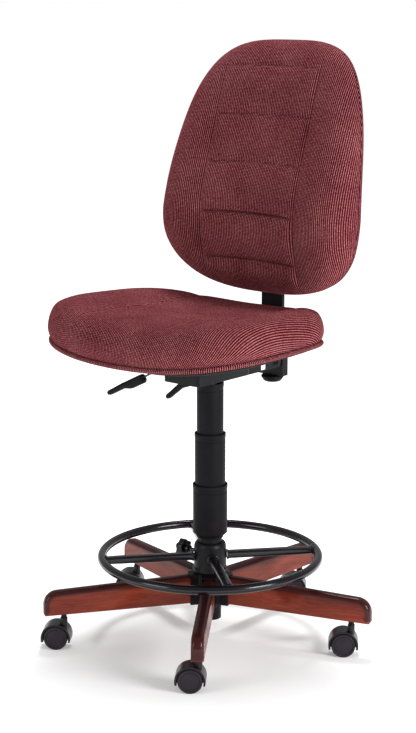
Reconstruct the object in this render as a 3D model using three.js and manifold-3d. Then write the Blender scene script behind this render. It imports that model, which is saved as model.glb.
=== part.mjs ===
// Drafting chair: upholstered seat and back on a gas lift, with a footring and a five-leg
// wooden base on twin-wheel castors.
//
// Millimetres, +Z up. The sitter faces -Y, so the sitter's right hand is at -X. The floor is
// z = 0. The origin is the middle of the footprint, and the column stands a little in front
// of it, at y = COLUMN_Y.

import * as THREE from 'three';
import { mergeVertices } from 'three/addons/utils/BufferGeometryUtils.js';
import Module from 'manifold-3d';

const wasm = await Module();
wasm.setup();

// ---- Driving dimensions -------------------------------------------------------------------

const GAP = 0.3; // clearance between neighbours that touch in the real chair
const COLUMN_Y = -29;

// Castors: a stem in the leg, a hood that swivels on it, and two wheels on one axle.
const WHEEL_R = 25;
const WHEEL_SIDES = 20;
const WHEEL_WIDTH = 17;
const WEB_WIDTH = 6;
const WHEEL_CLEARANCE = 1;
const AXLE_R = 3;
const HOOD_R = 31;
const HOOD_WALL = 4;
const HOOD_BELOW_CENTRE = THREE.MathUtils.degToRad(16);
const CASTOR_TRAIL = 16;
const CASTOR_HEADING = THREE.MathUtils.degToRad(216.5);
const BOSS_R = 7.5;
const BOSS_TOP = 66;
const STEM_R = 5;
const STEM_TOP = 106;
const STEM_FROM_COLUMN = 315;

// Base: five legs of 26 mm board in the sleeves of a steel hub.
const LEG_COUNT = 5;
const LEG_REACH = 357.7;
const LEG_ROOT = 34;
const LEG_THICKNESS = 26;
const LEG_BOTTOM_ROOT = 78;
const LEG_BOTTOM_END = 75;
const LEG_TOP_ROOT = 138;
const LEG_TOP_END = 126;
const LEG_END_ROUND = 30;
const HUB_R = 33;
const HUB_BOTTOM = 74;
const HUB_TOP = 143;
const SLEEVE_REACH = 46;
const SLEEVE_WALL = 2.4;

// Gas lift: a tapered outer tube in the hub, and a cylinder that slides in its bushing.
const TUBE_R = 25;
const TUBE_FOOT_R = 23.4;
const TUBE_BOTTOM = 40;
const TUBE_TOP = 300;
const TUBE_WALL = 3;
const TUBE_FLOOR = 46;
const CYLINDER_R = 14;
const CYLINDER_BOTTOM = 225;
const CYLINDER_TOP = 590;
const BUSHING_HEIGHT = 68;
const ROD_R = 5;
const ROD_TOP = 300;
const PISTON_R = 11.5;
const RELEASE_PIN_R = 3;
const RELEASE_PIN_TOP = 597;

// Telescopic covers, each one outside the next.
const COVERS = [
  { name: 'cover_lower', radius: 36.2, bottom: 219, top: 335, neck: 26 },
  { name: 'cover_middle', radius: 32.2, bottom: 308, top: 445 },
  { name: 'cover_upper', radius: 28, bottom: 408, top: 553 },
];
const COVER_WALL = 1.8;
const COVER_NECK_HEIGHT = 12;

// Footring, clamped to the outer tube by a star knob.
const RING_Z = 177.7;
const RING_R = 229.6;
const RING_TUBE_R = 8;
const RING_HUB_R = 34;
const RING_HUB_FLARE_R = 36.5;
const RING_HUB_BOTTOM = 146;
const RING_HUB_TOP = 209;
const SPOKE_COUNT = 4;
const SPOKE_WIDTH = 20;
const SPOKE_HEIGHT = 16;
const SPOKE_TURN = THREE.MathUtils.degToRad(49.65);
const STAR_KNOB_R = 20;
const STAR_KNOB_LOBES = 6;
const STAR_KNOB_TURN = THREE.MathUtils.degToRad(-85.35);
const STAR_KNOB_Z = 181;

// Mechanism under the seat: a pressed housing with a rear channel that carries the back.
const HOUSING_HALF_WIDTH = 50;
const HOUSING_FRONT = -95;
const HOUSING_BACK = 75;
const HOUSING_BOTTOM = 564;
const HOUSING_TOP = 608.7;
const SOCKET_BOTTOM = 554;
const SHEET = 3;
const CHANNEL_HALF_WIDTH = 32;
const CHANNEL_BOTTOM = 558;
const CHANNEL_TOP = 600;
const CHANNEL_BACK = 194;
const TILT_PIVOT = { y: 182, z: 572 };
const TILT_PIN_R = 5;
const TOP_PLATE = { halfWidth: 85, front: -100, back: 95, bottom: 609, top: 613.7 };

// Levers, on the sitter's right. A steel bar runs out of the housing to a moulded grip.
const HEIGHT_LEVER = { y: -60, pivotX: -50, pivotZ: 597, tipX: -235, tipZ: 505 };
const TILT_LEVER = { y: 58, pivotX: -28, pivotZ: 571, bendX: -60, tipX: -172, tipZ: 484 };
const BAR_WIDTH = 14;
const BAR_THICKNESS = 3;
const GRIP_LENGTH = 98;

// Back carrier: a receiver that holds the post, and the tension knob under it.
const POST_HALF_WIDTH = 29;
const POST_FRONT = 205.5;
const POST_THICKNESS = 8;
const POST_BOTTOM = 545;
const POST_TOP = 842;
const RECEIVER_WALL = 5;
const RECEIVER_BOTTOM = 536;
const RECEIVER_TOP = 640;
const TENSION_KNOB_R = 24.5;
const TENSION_KNOB_TOP = 535.5;

// Seat: board, foam and the welt that runs round the bottom edge.
const SEAT = {
  halfWidth: 260,
  halfDepth: 232,
  centreY: -60,
  power: 3.2,
  frontFlare: 0.09,
  dish: 25,
};
const SEAT_BOARD_BOTTOM = 614.3;
const SEAT_BOARD_TOP = 626;
const WELT_Z = 630;
const WELT_R = 6.5;

// Back: boards and foam follow one curve, backY(z), the front face of the inner board.
const BACK_BOTTOM = 718;
const BACK_TOP = 1246;
const BACK_HALF_WIDTH = 246;
const BACK_WRAP = 34;
const BACK_WIDEST_Z = 890;
const BOARD_THICKNESS = 8;
const POST_SPACE = 17;
const PANEL_THICKNESS = 11;

// ---- Colours ------------------------------------------------------------------------------

const FINISHES = {
  wood: { color: 0x7a3424, roughness: 0.25, metalness: 0 },
  blackSteel: { color: 0x1d1b1f, roughness: 0.4, metalness: 0.3 },
  blackPlastic: { color: 0x242126, roughness: 0.55, metalness: 0 },
  brightSteel: { color: 0xb8bcc2, roughness: 0.2, metalness: 1 },
  nylon: { color: 0xd8d4c8, roughness: 0.6, metalness: 0 },
  fabric: { color: 0x7b3340, roughness: 0.95, metalness: 0 },
  plywood: { color: 0xb98f60, roughness: 0.8, metalness: 0 },
};

// ---- Helpers ------------------------------------------------------------------------------

/** The same surface with shared vertices, no zero triangles, and its faces pointing out. */
function closed(geometry) {
  const bare = geometry.clone();
  bare.deleteAttribute('normal');
  bare.deleteAttribute('uv');
  const merged = mergeVertices(bare, 1e-3);
  const place = merged.attributes.position;
  const corners = [];
  let sixVolumes = 0;
  const a = new THREE.Vector3();
  const b = new THREE.Vector3();
  const c = new THREE.Vector3();
  for (let i = 0; i < merged.index.count; i += 3) {
    const triangle = [0, 1, 2].map((k) => merged.index.getX(i + k));
    if (new Set(triangle).size < 3) continue;
    corners.push(triangle);
    a.fromBufferAttribute(place, triangle[0]);
    b.fromBufferAttribute(place, triangle[1]);
    c.fromBufferAttribute(place, triangle[2]);
    sixVolumes += a.dot(b.cross(c));
  }
  if (sixVolumes < 0) corners.forEach((triangle) => triangle.reverse());
  const out = new THREE.BufferGeometry();
  out.setAttribute('position', place.clone());
  out.setIndex(corners.flat());
  return out;
}

function toSolid(geometry) {
  const body = closed(geometry);
  return new wasm.Manifold(new wasm.Mesh({
    numProp: 3,
    vertProperties: new Float32Array(body.attributes.position.array),
    triVerts: new Uint32Array(body.index.array),
  }));
}

function fromSolid(solid) {
  const mesh = solid.getMesh();
  const geometry = new THREE.BufferGeometry();
  geometry.setAttribute('position', new THREE.BufferAttribute(mesh.vertProperties, 3));
  geometry.setIndex(new THREE.BufferAttribute(mesh.triVerts, 1));
  return geometry;
}

/** One solid from pieces to join and pieces to cut away. */
function carve(joined, cut = []) {
  let solid = toSolid(joined[0]);
  for (const piece of joined.slice(1)) solid = solid.add(toSolid(piece));
  for (const piece of cut) solid = solid.subtract(toSolid(piece));
  return fromSolid(solid);
}

/** The solid that several views share: each is a prism through the whole piece. */
function common(...pieces) {
  let solid = toSolid(pieces[0]);
  for (const piece of pieces.slice(1)) solid = solid.intersect(toSolid(piece));
  return fromSolid(solid);
}

/** A box given by its two opposite corners. */
function block(low, high) {
  const size = high.map((value, i) => value - low[i]);
  const box = new THREE.BoxGeometry(...size);
  return box.translate(...low.map((value, i) => value + size[i] / 2));
}

/** A solid of revolution about Z from [radius, height] corners. */
function turned(corners, sides = 28) {
  const profile = corners.map(([r, z]) => new THREE.Vector2(r, z));
  return new THREE.LatheGeometry(profile, sides).rotateX(Math.PI / 2);
}

/** A tube about Z: the corners go round its wall and close on the first. */
function tube(corners, sides = 28) {
  return turned([...corners, corners[0]], sides);
}

/** A round bar between two heights on Z. */
function bar(radius, bottom, top, sides = 24) {
  return turned([[0, bottom], [radius, bottom], [radius, top], [0, top]], sides);
}

/** A shape drawn in X and Z, extruded along Y from -width/2 to +width/2. */
function slab(shape, width, curveSegments = 8) {
  const settings = { depth: width, bevelEnabled: false, curveSegments };
  return new THREE.ExtrudeGeometry(shape, settings).translate(0, 0, -width / 2).rotateX(Math.PI / 2);
}

/** A shape drawn in X and Y, extruded up from one height to another. */
function prism(shape, bottom, top, curveSegments = 8) {
  const settings = { depth: top - bottom, bevelEnabled: false, curveSegments };
  return new THREE.ExtrudeGeometry(shape, settings).translate(0, 0, bottom);
}

/** A rectangle with rounded corners. */
function roundedRectangle(left, low, right, high, radius) {
  const shape = new THREE.Shape();
  shape.moveTo(left + radius, low);
  shape.lineTo(right - radius, low);
  shape.absarc(right - radius, low + radius, radius, -Math.PI / 2, 0);
  shape.lineTo(right, high - radius);
  shape.absarc(right - radius, high - radius, radius, 0, Math.PI / 2);
  shape.lineTo(left + radius, high);
  shape.absarc(left + radius, high - radius, radius, Math.PI / 2, Math.PI);
  shape.lineTo(left, low + radius);
  shape.absarc(left + radius, low + radius, radius, Math.PI, 1.5 * Math.PI);
  return shape;
}

function polygon(points) {
  return new THREE.Shape(points.map(([x, y]) => new THREE.Vector2(x, y)));
}

/** A named mesh with its finish. */
function piece(name, geometry, finish) {
  const body = closed(geometry);
  body.computeVertexNormals();
  const mesh = new THREE.Mesh(body, new THREE.MeshStandardMaterial(FINISHES[finish]));
  mesh.name = name;
  return mesh;
}

/** Moves every vertex of a geometry by a function of its place. */
function reshape(geometry, move) {
  const place = geometry.attributes.position;
  for (let i = 0; i < place.count; i += 1) {
    const [x, y, z] = move(place.getX(i), place.getY(i), place.getZ(i));
    place.setXYZ(i, x, y, z);
  }
  return geometry;
}

// ---- Castors ------------------------------------------------------------------------------
// Each is built about its stem: +X trails to the wheels, Y is the axle, z = 0 is the floor.

const WHEEL_INNER = WEB_WIDTH / 2 + WHEEL_CLEARANCE;
const WHEEL_SPACE_R = HOOD_R - HOOD_WALL;
const HOOD_WIDTH = 2 * (WHEEL_INNER + WHEEL_WIDTH);

function castorWheel(side) {
  const corner = WHEEL_R / Math.cos(Math.PI / WHEEL_SIDES);
  const bore = AXLE_R + GAP;
  const outer = WHEEL_INNER + WHEEL_WIDTH;
  const profile = [
    [0, outer],
    [corner - 1.5, outer],
    [corner, outer - 1.5],
    [corner, WHEEL_INNER],
    [bore, WHEEL_INNER],
    [bore, outer - 3],
    [0, outer - 3],
  ].map(([r, y]) => new THREE.Vector2(r, side * y));
  const flatDown = Math.PI / WHEEL_SIDES;
  const wheel = new THREE.LatheGeometry(profile, WHEEL_SIDES, flatDown);
  return wheel.translate(CASTOR_TRAIL, 0, WHEEL_R);
}

function hoodArc(outer, inner) {
  const start = -HOOD_BELOW_CENTRE;
  const end = Math.PI + HOOD_BELOW_CENTRE;
  const shape = new THREE.Shape();
  shape.absarc(CASTOR_TRAIL, WHEEL_R, outer, start, end, false);
  if (inner > 0) shape.absarc(CASTOR_TRAIL, WHEEL_R, inner, end, start, true);
  return shape;
}

function castorHood() {
  const shell = slab(hoodArc(HOOD_R, WHEEL_SPACE_R), HOOD_WIDTH, 11);
  const midWall = WHEEL_SPACE_R + HOOD_WALL / 2;
  const wheelSpace = new THREE.CylinderGeometry(midWall, midWall, HOOD_WIDTH + 2, 24);
  wheelSpace.translate(CASTOR_TRAIL, 0, WHEEL_R);
  const boss = carve([bar(BOSS_R, BOSS_TOP - 28, BOSS_TOP, 14)], [wheelSpace]);
  const web = slab(hoodArc(midWall, 0), WEB_WIDTH, 7);
  const axleLength = 2 * (WHEEL_INNER + WHEEL_WIDTH - 4);
  const axle = new THREE.CylinderGeometry(AXLE_R, AXLE_R, axleLength, 12);
  axle.translate(CASTOR_TRAIL, 0, WHEEL_R);
  const stemHole = bar(STEM_R - 1 + GAP, BOSS_TOP - 15, BOSS_TOP + 1, 14);
  return carve([shell, boss, web, axle], [stemHole]);
}

function castorStem() {
  const lower = STEM_R - 1;
  const collar = LEG_BOTTOM_END - 0.5;
  return turned([
    [0, BOSS_TOP - 14],
    [lower, BOSS_TOP - 14],
    [lower, BOSS_TOP + GAP],
    [lower + 2, BOSS_TOP + GAP],
    [lower + 2, collar],
    [STEM_R, collar],
    [STEM_R, STEM_TOP],
    [0, STEM_TOP],
  ], 16);
}

function castor(number) {
  const group = new THREE.Group();
  group.add(
    piece(`castor_${number}_stem`, castorStem(), 'brightSteel'),
    piece(`castor_${number}_hood`, castorHood(), 'blackPlastic'),
    piece(`castor_${number}_wheel_left`, castorWheel(1), 'blackPlastic'),
    piece(`castor_${number}_wheel_right`, castorWheel(-1), 'blackPlastic'),
  );
  return group;
}

// ---- Base ---------------------------------------------------------------------------------
// A leg is built pointing along +X from the column.

function legAngle(index) {
  const step = (2 * Math.PI) / LEG_COUNT;
  return Math.PI / 2 + index * step;
}

function legOutline() {
  const shape = new THREE.Shape();
  shape.moveTo(LEG_ROOT, LEG_BOTTOM_ROOT);
  shape.lineTo(LEG_REACH - 3, LEG_BOTTOM_END);
  shape.quadraticCurveTo(LEG_REACH, LEG_BOTTOM_END, LEG_REACH, LEG_BOTTOM_END + 3);
  shape.lineTo(LEG_REACH, LEG_TOP_END - LEG_END_ROUND);
  const shoulder = LEG_REACH - LEG_END_ROUND;
  shape.absarc(shoulder, LEG_TOP_END - LEG_END_ROUND, LEG_END_ROUND, 0, Math.PI / 2);
  shape.lineTo(LEG_ROOT, LEG_TOP_ROOT);
  return shape;
}

function legSection() {
  const half = LEG_THICKNESS / 2;
  const round = 6;
  const shape = new THREE.Shape();
  shape.moveTo(-half, LEG_BOTTOM_END - 5);
  shape.lineTo(half, LEG_BOTTOM_END - 5);
  shape.lineTo(half, LEG_TOP_ROOT - round);
  shape.absarc(half - round, LEG_TOP_ROOT - round, round, 0, Math.PI / 2);
  shape.lineTo(-half + round, LEG_TOP_ROOT);
  shape.absarc(-half + round, LEG_TOP_ROOT - round, round, Math.PI / 2, Math.PI);
  return shape;
}

function leg() {
  const half = LEG_THICKNESS / 2;
  const side = slab(legOutline(), LEG_THICKNESS + 2, 7);
  // The rounded section follows the top edge, which falls from the root to the end.
  const fall = (LEG_TOP_ROOT - LEG_TOP_END) / (LEG_REACH - LEG_END_ROUND - LEG_ROOT);
  const reach = LEG_REACH + 10;
  const section = new THREE.ExtrudeGeometry(legSection(), {
    depth: reach,
    bevelEnabled: false,
    curveSegments: 3,
  });
  section.rotateX(Math.PI / 2).rotateZ(Math.PI / 2);
  reshape(section, (x, y, z) => [x, y, z - Math.max(0, x - LEG_ROOT) * fall]);
  const plan = prism(roundedRectangle(0, -half, LEG_REACH, half, 5), 0, 200, 2);
  const solid = common(side, section, plan);
  const socket = bar(STEM_R + GAP, 0, STEM_TOP + 1, 16).translate(STEM_FROM_COLUMN, 0, 0);
  return carve([solid], [socket]);
}

function tubeRadiusAt(z) {
  const along = (z - TUBE_BOTTOM) / (HUB_TOP - TUBE_BOTTOM);
  return TUBE_FOOT_R + (TUBE_R - TUBE_FOOT_R) * along;
}

function baseHub() {
  const core = turned([
    [0, HUB_BOTTOM],
    [HUB_R - 2, HUB_BOTTOM],
    [HUB_R, HUB_BOTTOM + 2],
    [HUB_R, HUB_TOP - 6],
    [HUB_R - 2, HUB_TOP - 2],
    [HUB_R - 6, HUB_TOP],
    [0, HUB_TOP],
  ]);
  const half = LEG_THICKNESS / 2;
  const joined = [core];
  const cut = [];
  for (let i = 0; i < LEG_COUNT; i += 1) {
    const wide = half + GAP + SLEEVE_WALL;
    const low = LEG_BOTTOM_ROOT - SLEEVE_WALL - 1;
    const high = LEG_TOP_ROOT + SLEEVE_WALL + GAP;
    const sleeve = block([20, -wide, low], [SLEEVE_REACH, wide, high]);
    const pocketLow = LEG_BOTTOM_ROOT - GAP - 0.5;
    const pocketHigh = LEG_TOP_ROOT + GAP;
    const pocket = block(
      [LEG_ROOT - GAP, -half - GAP, pocketLow],
      [SLEEVE_REACH + 5, half + GAP, pocketHigh],
    );
    joined.push(sleeve.rotateZ(legAngle(i)));
    cut.push(pocket.rotateZ(legAngle(i)));
  }
  const low = HUB_BOTTOM - 1;
  const high = HUB_TOP + 1;
  cut.push(turned([
    [0, low],
    [tubeRadiusAt(low) + GAP + 0.1, low],
    [tubeRadiusAt(high) + GAP + 0.1, high],
    [0, high],
  ]));
  return carve(joined, cut);
}

function base() {
  const group = new THREE.Group();
  group.add(piece('base_hub', baseHub(), 'blackSteel'));
  for (let i = 0; i < LEG_COUNT; i += 1) {
    const number = i + 1;
    const angle = legAngle(i);
    const wood = piece(`leg_${number}`, leg(), 'wood');
    wood.rotation.z = angle;
    const wheels = castor(number);
    wheels.position.set(STEM_FROM_COLUMN * Math.cos(angle), STEM_FROM_COLUMN * Math.sin(angle), 0);
    wheels.rotation.z = CASTOR_HEADING;
    group.add(wood, wheels);
  }
  return group;
}

// ---- Column -------------------------------------------------------------------------------

function gasLiftTube() {
  const inner = TUBE_R - TUBE_WALL;
  const hole = ROD_R + GAP;
  return tube([
    [hole, TUBE_BOTTOM],
    [TUBE_FOOT_R, TUBE_BOTTOM],
    [TUBE_R, HUB_TOP],
    [TUBE_R, TUBE_TOP],
    [inner, TUBE_TOP],
    [inner, HUB_TOP],
    [inner - 1, TUBE_FLOOR],
    [hole, TUBE_FLOOR],
  ]);
}

function guideBushing() {
  const outer = TUBE_R - TUBE_WALL - GAP;
  const inner = CYLINDER_R + GAP + 0.1;
  const bottom = TUBE_TOP - BUSHING_HEIGHT;
  return tube([[inner, bottom], [outer, bottom], [outer, TUBE_TOP], [inner, TUBE_TOP]]);
}

function gasCylinder() {
  const inner = CYLINDER_R - 2;
  const hole = ROD_R + GAP;
  const pinHole = RELEASE_PIN_R + GAP;
  const taper = CYLINDER_TOP - 30;
  return turned([
    [0, taper - 10],
    [inner, taper - 10],
    [inner, CYLINDER_BOTTOM + 6],
    [hole, CYLINDER_BOTTOM + 6],
    [hole, CYLINDER_BOTTOM],
    [CYLINDER_R, CYLINDER_BOTTOM],
    [CYLINDER_R, taper],
    [CYLINDER_R - 1, CYLINDER_TOP],
    [pinHole, CYLINDER_TOP],
    [pinHole, CYLINDER_TOP - 26],
    [0, CYLINDER_TOP - 26],
  ], 24);
}

function pistonRod() {
  return turned([
    [0, TUBE_BOTTOM],
    [ROD_R, TUBE_BOTTOM],
    [ROD_R, ROD_TOP - 10],
    [PISTON_R, ROD_TOP - 10],
    [PISTON_R, ROD_TOP],
    [0, ROD_TOP],
  ], 20);
}

function thrustBearing() {
  const bottom = TUBE_FLOOR + GAP;
  return tube([
    [ROD_R + GAP, bottom],
    [CYLINDER_R, bottom],
    [CYLINDER_R, bottom + 9],
    [ROD_R + GAP, bottom + 9],
  ], 20);
}

function coverTube({ radius, bottom, top, neck }) {
  const inner = radius - COVER_WALL;
  const lip = radius + 0.7;
  const rim = [[lip, top - 8], [lip, top], [inner, top]];
  if (!neck) {
    return tube([[inner, bottom], [radius, bottom], [radius, top - 8], ...rim]);
  }
  const shoulder = bottom + COVER_NECK_HEIGHT;
  return tube([
    [neck, bottom],
    [neck + COVER_WALL, bottom],
    [radius, shoulder],
    [radius, top - 8],
    ...rim,
    [inner, shoulder],
    [neck, bottom + 3],
  ]);
}

function column() {
  const group = new THREE.Group();
  group.add(
    piece('gas_lift_tube', gasLiftTube(), 'blackSteel'),
    piece('guide_bushing', guideBushing(), 'nylon'),
    piece('thrust_bearing', thrustBearing(), 'brightSteel'),
    piece('piston_rod', pistonRod(), 'brightSteel'),
    piece('gas_cylinder', gasCylinder(), 'brightSteel'),
    piece('release_pin', bar(RELEASE_PIN_R, CYLINDER_TOP - 17, RELEASE_PIN_TOP, 16), 'brightSteel'),
  );
  for (const cover of COVERS) group.add(piece(cover.name, coverTube(cover), 'blackPlastic'));
  return group;
}

// ---- Footring -----------------------------------------------------------------------------

function footringHub() {
  const bore = TUBE_R + GAP + 0.1;
  return tube([
    [bore, RING_HUB_BOTTOM],
    [RING_HUB_FLARE_R, RING_HUB_BOTTOM],
    [RING_HUB_FLARE_R, RING_HUB_BOTTOM + 5],
    [RING_HUB_R, RING_HUB_BOTTOM + 9],
    [RING_HUB_R, RING_HUB_TOP - 9],
    [RING_HUB_R - 2, RING_HUB_TOP - 2.5],
    [RING_HUB_R - 4.5, RING_HUB_TOP],
    [bore, RING_HUB_TOP],
  ], 28);
}

function spoke() {
  const start = RING_HUB_FLARE_R + GAP;
  const end = RING_R - RING_TUBE_R - 2 * GAP;
  const half = SPOKE_WIDTH / 2;
  const low = RING_Z - SPOKE_HEIGHT / 2;
  const section = roundedRectangle(-half, low, half, low + SPOKE_HEIGHT, 4);
  const settings = { depth: end - start, bevelEnabled: false, curveSegments: 2 };
  const tubeAlong = new THREE.ExtrudeGeometry(section, settings);
  return tubeAlong.rotateX(Math.PI / 2).rotateZ(Math.PI / 2).translate(start, 0, 0);
}

/** A star knob on its stud, along +X from the hub. */
function starKnob() {
  const shape = new THREE.Shape();
  const steps = STAR_KNOB_LOBES * 8;
  for (let i = 0; i < steps; i += 1) {
    const angle = (i / steps) * 2 * Math.PI;
    const radius = STAR_KNOB_R - 2 + 2 * Math.cos(STAR_KNOB_LOBES * angle);
    const corner = [radius * Math.cos(angle), radius * Math.sin(angle)];
    if (i === 0) shape.moveTo(...corner);
    else shape.lineTo(...corner);
  }
  const head = prism(shape, 62, 78);
  const neck = bar(9, 53, 63, 20);
  const stud = bar(4, RING_HUB_R + 1, 54, 16);
  return carve([head, neck, stud]).rotateY(Math.PI / 2).translate(0, 0, STAR_KNOB_Z);
}

function footring() {
  const group = new THREE.Group();
  const ring = new THREE.TorusGeometry(RING_R, RING_TUBE_R, 10, 48).translate(0, 0, RING_Z);
  group.add(
    piece('footring_hub', footringHub(), 'blackSteel'),
    piece('footring', ring, 'blackSteel'),
  );
  for (let i = 0; i < SPOKE_COUNT; i += 1) {
    const arm = piece(`spoke_${i + 1}`, spoke(), 'blackSteel');
    arm.rotation.z = SPOKE_TURN - Math.PI / 2 + (i * 2 * Math.PI) / SPOKE_COUNT;
    group.add(arm);
  }
  const knob = piece('footring_knob', starKnob(), 'blackPlastic');
  knob.rotation.z = STAR_KNOB_TURN - Math.PI / 2;
  group.add(knob);
  return group;
}

// ---- Mechanism ----------------------------------------------------------------------------

function housing() {
  const w = HOUSING_HALF_WIDTH;
  const plan = roundedRectangle(-w, HOUSING_FRONT, w, HOUSING_BACK, 14);
  const outside = prism(plan, HOUSING_BOTTOM, HOUSING_TOP, 4);
  const insidePlan = roundedRectangle(
    -w + SHEET,
    HOUSING_FRONT + SHEET,
    w - SHEET,
    HOUSING_BACK - SHEET,
    11,
  );
  const inside = prism(insidePlan, HOUSING_BOTTOM + SHEET, HOUSING_TOP + 1, 4);
  const tray = carve([outside], [inside]);
  const socket = bar(CYLINDER_R + 5, SOCKET_BOTTOM, CYLINDER_TOP - 5, 24);
  const c = CHANNEL_HALF_WIDTH;
  const channel = carve(
    [block([-c, HOUSING_BACK - 2, CHANNEL_BOTTOM], [c, CHANNEL_BACK, CHANNEL_TOP])],
    [
      block(
        [-c + SHEET, HOUSING_BACK - 3, CHANNEL_BOTTOM + SHEET],
        [c - SHEET, CHANNEL_BACK + 1, CHANNEL_TOP + 1],
      ),
      block(
        [-c + SHEET, TILT_PIVOT.y - 26, CHANNEL_BOTTOM - 1],
        [c - SHEET, CHANNEL_BACK + 1, CHANNEL_TOP + 1],
      ),
    ],
  );
  const bore = CYLINDER_R + GAP;
  const pinHole = new THREE.CylinderGeometry(TILT_PIN_R + GAP, TILT_PIN_R + GAP, 100, 20);
  pinHole.rotateZ(Math.PI / 2).translate(0, TILT_PIVOT.y, TILT_PIVOT.z);
  const cut = [
    bar(bore, SOCKET_BOTTOM - 1, CYLINDER_TOP, 24),
    pinHole,
    leverSlot(HEIGHT_LEVER.y, HEIGHT_LEVER.pivotZ - 12, HEIGHT_LEVER.pivotZ + 8),
    leverSlot(TILT_LEVER.y, TILT_LEVER.pivotZ - 4, TILT_LEVER.pivotZ + 8),
  ];
  return carve([tray, socket, channel], cut);
}

/** A slot for a lever through the wall on the sitter's right. */
function leverSlot(y, low, high) {
  const half = BAR_WIDTH / 2 + 1.5;
  const wall = -HOUSING_HALF_WIDTH;
  return block([wall - 2, y - half, low], [wall + SHEET + 2, y + half, high]);
}

/** A strip of plate through [x, z] points, its thickness downward from them. */
function strip(points, y, width, thickness) {
  const below = points.map(([x, z]) => [x, z - thickness]).reverse();
  return slab(polygon([...points, ...below]), width).translate(0, y, 0);
}

function heightLeverBar() {
  const { y, pivotX, pivotZ, tipX } = HEIGHT_LEVER;
  const top = pivotZ + 5;
  const fall = leverFall(HEIGHT_LEVER, pivotX);
  const end = tipX + GRIP_LENGTH - 25;
  const endZ = pivotZ - (pivotX - end) * fall;
  const bends = [[end, endZ], [pivotX, pivotZ], [pivotX + 12, top], [8, top]];
  const outer = strip(bends, y, BAR_WIDTH, BAR_THICKNESS);
  const inner = block([-8, y - BAR_WIDTH / 2, top - BAR_THICKNESS], [8, 6, top]);
  return carve([outer, inner]);
}

function tiltLeverBar() {
  const { y, pivotX, pivotZ, bendX, tipX } = TILT_LEVER;
  const fall = leverFall(TILT_LEVER, bendX);
  const end = tipX + GRIP_LENGTH - 25;
  const endZ = pivotZ - (bendX - end) * fall;
  return strip([[end, endZ], [bendX, pivotZ], [pivotX + 6, pivotZ]], y, BAR_WIDTH, BAR_THICKNESS);
}

/** How steeply a lever's bar falls from where it bends down, at x = bendX, to its tip. */
function leverFall({ pivotZ, tipX, tipZ }, bendX) {
  return (pivotZ - tipZ) / (bendX - tipX);
}

/** A moulded grip: wide where it takes the bar, narrow at the tip. */
function leverGrip(lever, bendX) {
  const length = GRIP_LENGTH;
  const shape = new THREE.Shape();
  shape.moveTo(0, 5);
  shape.quadraticCurveTo(0, 0, 6, 0);
  shape.lineTo(length * 0.52, 0);
  shape.quadraticCurveTo(length * 0.62, -8, length * 0.72, -8);
  shape.lineTo(length - 6, -8);
  shape.lineTo(length, -2);
  shape.lineTo(length, 11);
  shape.lineTo(8, 11);
  shape.quadraticCurveTo(0, 11, 0, 5);
  const body = slab(shape, 18, 4);
  const slot = block([length - 27, -BAR_WIDTH / 2 - GAP, 2.2], [length + 1, BAR_WIDTH / 2 + GAP, 6.4]);
  const grip = carve([body], [slot]);
  grip.translate(0, 0, -5.8);
  grip.rotateY(-Math.atan(leverFall(lever, bendX)));
  return grip.translate(lever.tipX, lever.y, lever.tipZ);
}

function backCarrier() {
  const inner = POST_HALF_WIDTH + GAP + 0.1;
  const outer = inner + RECEIVER_WALL;
  const front = POST_FRONT - GAP - 0.1;
  const back = POST_FRONT + POST_THICKNESS + GAP + 0.1;
  const box = block(
    [-outer, front - RECEIVER_WALL, RECEIVER_BOTTOM],
    [outer, back + RECEIVER_WALL, RECEIVER_TOP],
  );
  const postSpace = block([-inner, front, POST_BOTTOM - GAP], [inner, back, RECEIVER_TOP + 1]);
  const { y, z } = TILT_PIVOT;
  const earHalf = CHANNEL_HALF_WIDTH - SHEET - GAP;
  const ears = [1, -1].map((side) => {
    const faces = [side * earHalf, side * (earHalf - 4)].sort((a, b) => a - b);
    return block([faces[0], y - 11, z - 12], [faces[1], front - 1, z + 22]);
  });
  const pinHole = new THREE.CylinderGeometry(TILT_PIN_R + GAP, TILT_PIN_R + GAP, 100, 20);
  pinHole.rotateZ(Math.PI / 2).translate(0, y, z);
  const studHole = bar(4 + GAP, RECEIVER_BOTTOM - 1, RECEIVER_BOTTOM + 6, 16);
  studHole.translate(0, POST_FRONT + POST_THICKNESS / 2, 0);
  return carve([box, ...ears], [postSpace, pinHole, studHole]);
}

function tensionKnob() {
  const top = TENSION_KNOB_TOP;
  const wide = TENSION_KNOB_R;
  const knob = turned([
    [0, top - 19],
    [wide - 9, top - 19],
    [wide - 7, top - 17],
    [wide - 1.5, top - 8],
    [wide, top - 6],
    [wide, top - 3],
    [wide - 2, top - 1],
    [12, top],
    [4, top],
    [4, top + 5],
    [0, top + 5],
  ], 28);
  return knob.translate(0, POST_FRONT + POST_THICKNESS / 2, 0);
}

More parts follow.
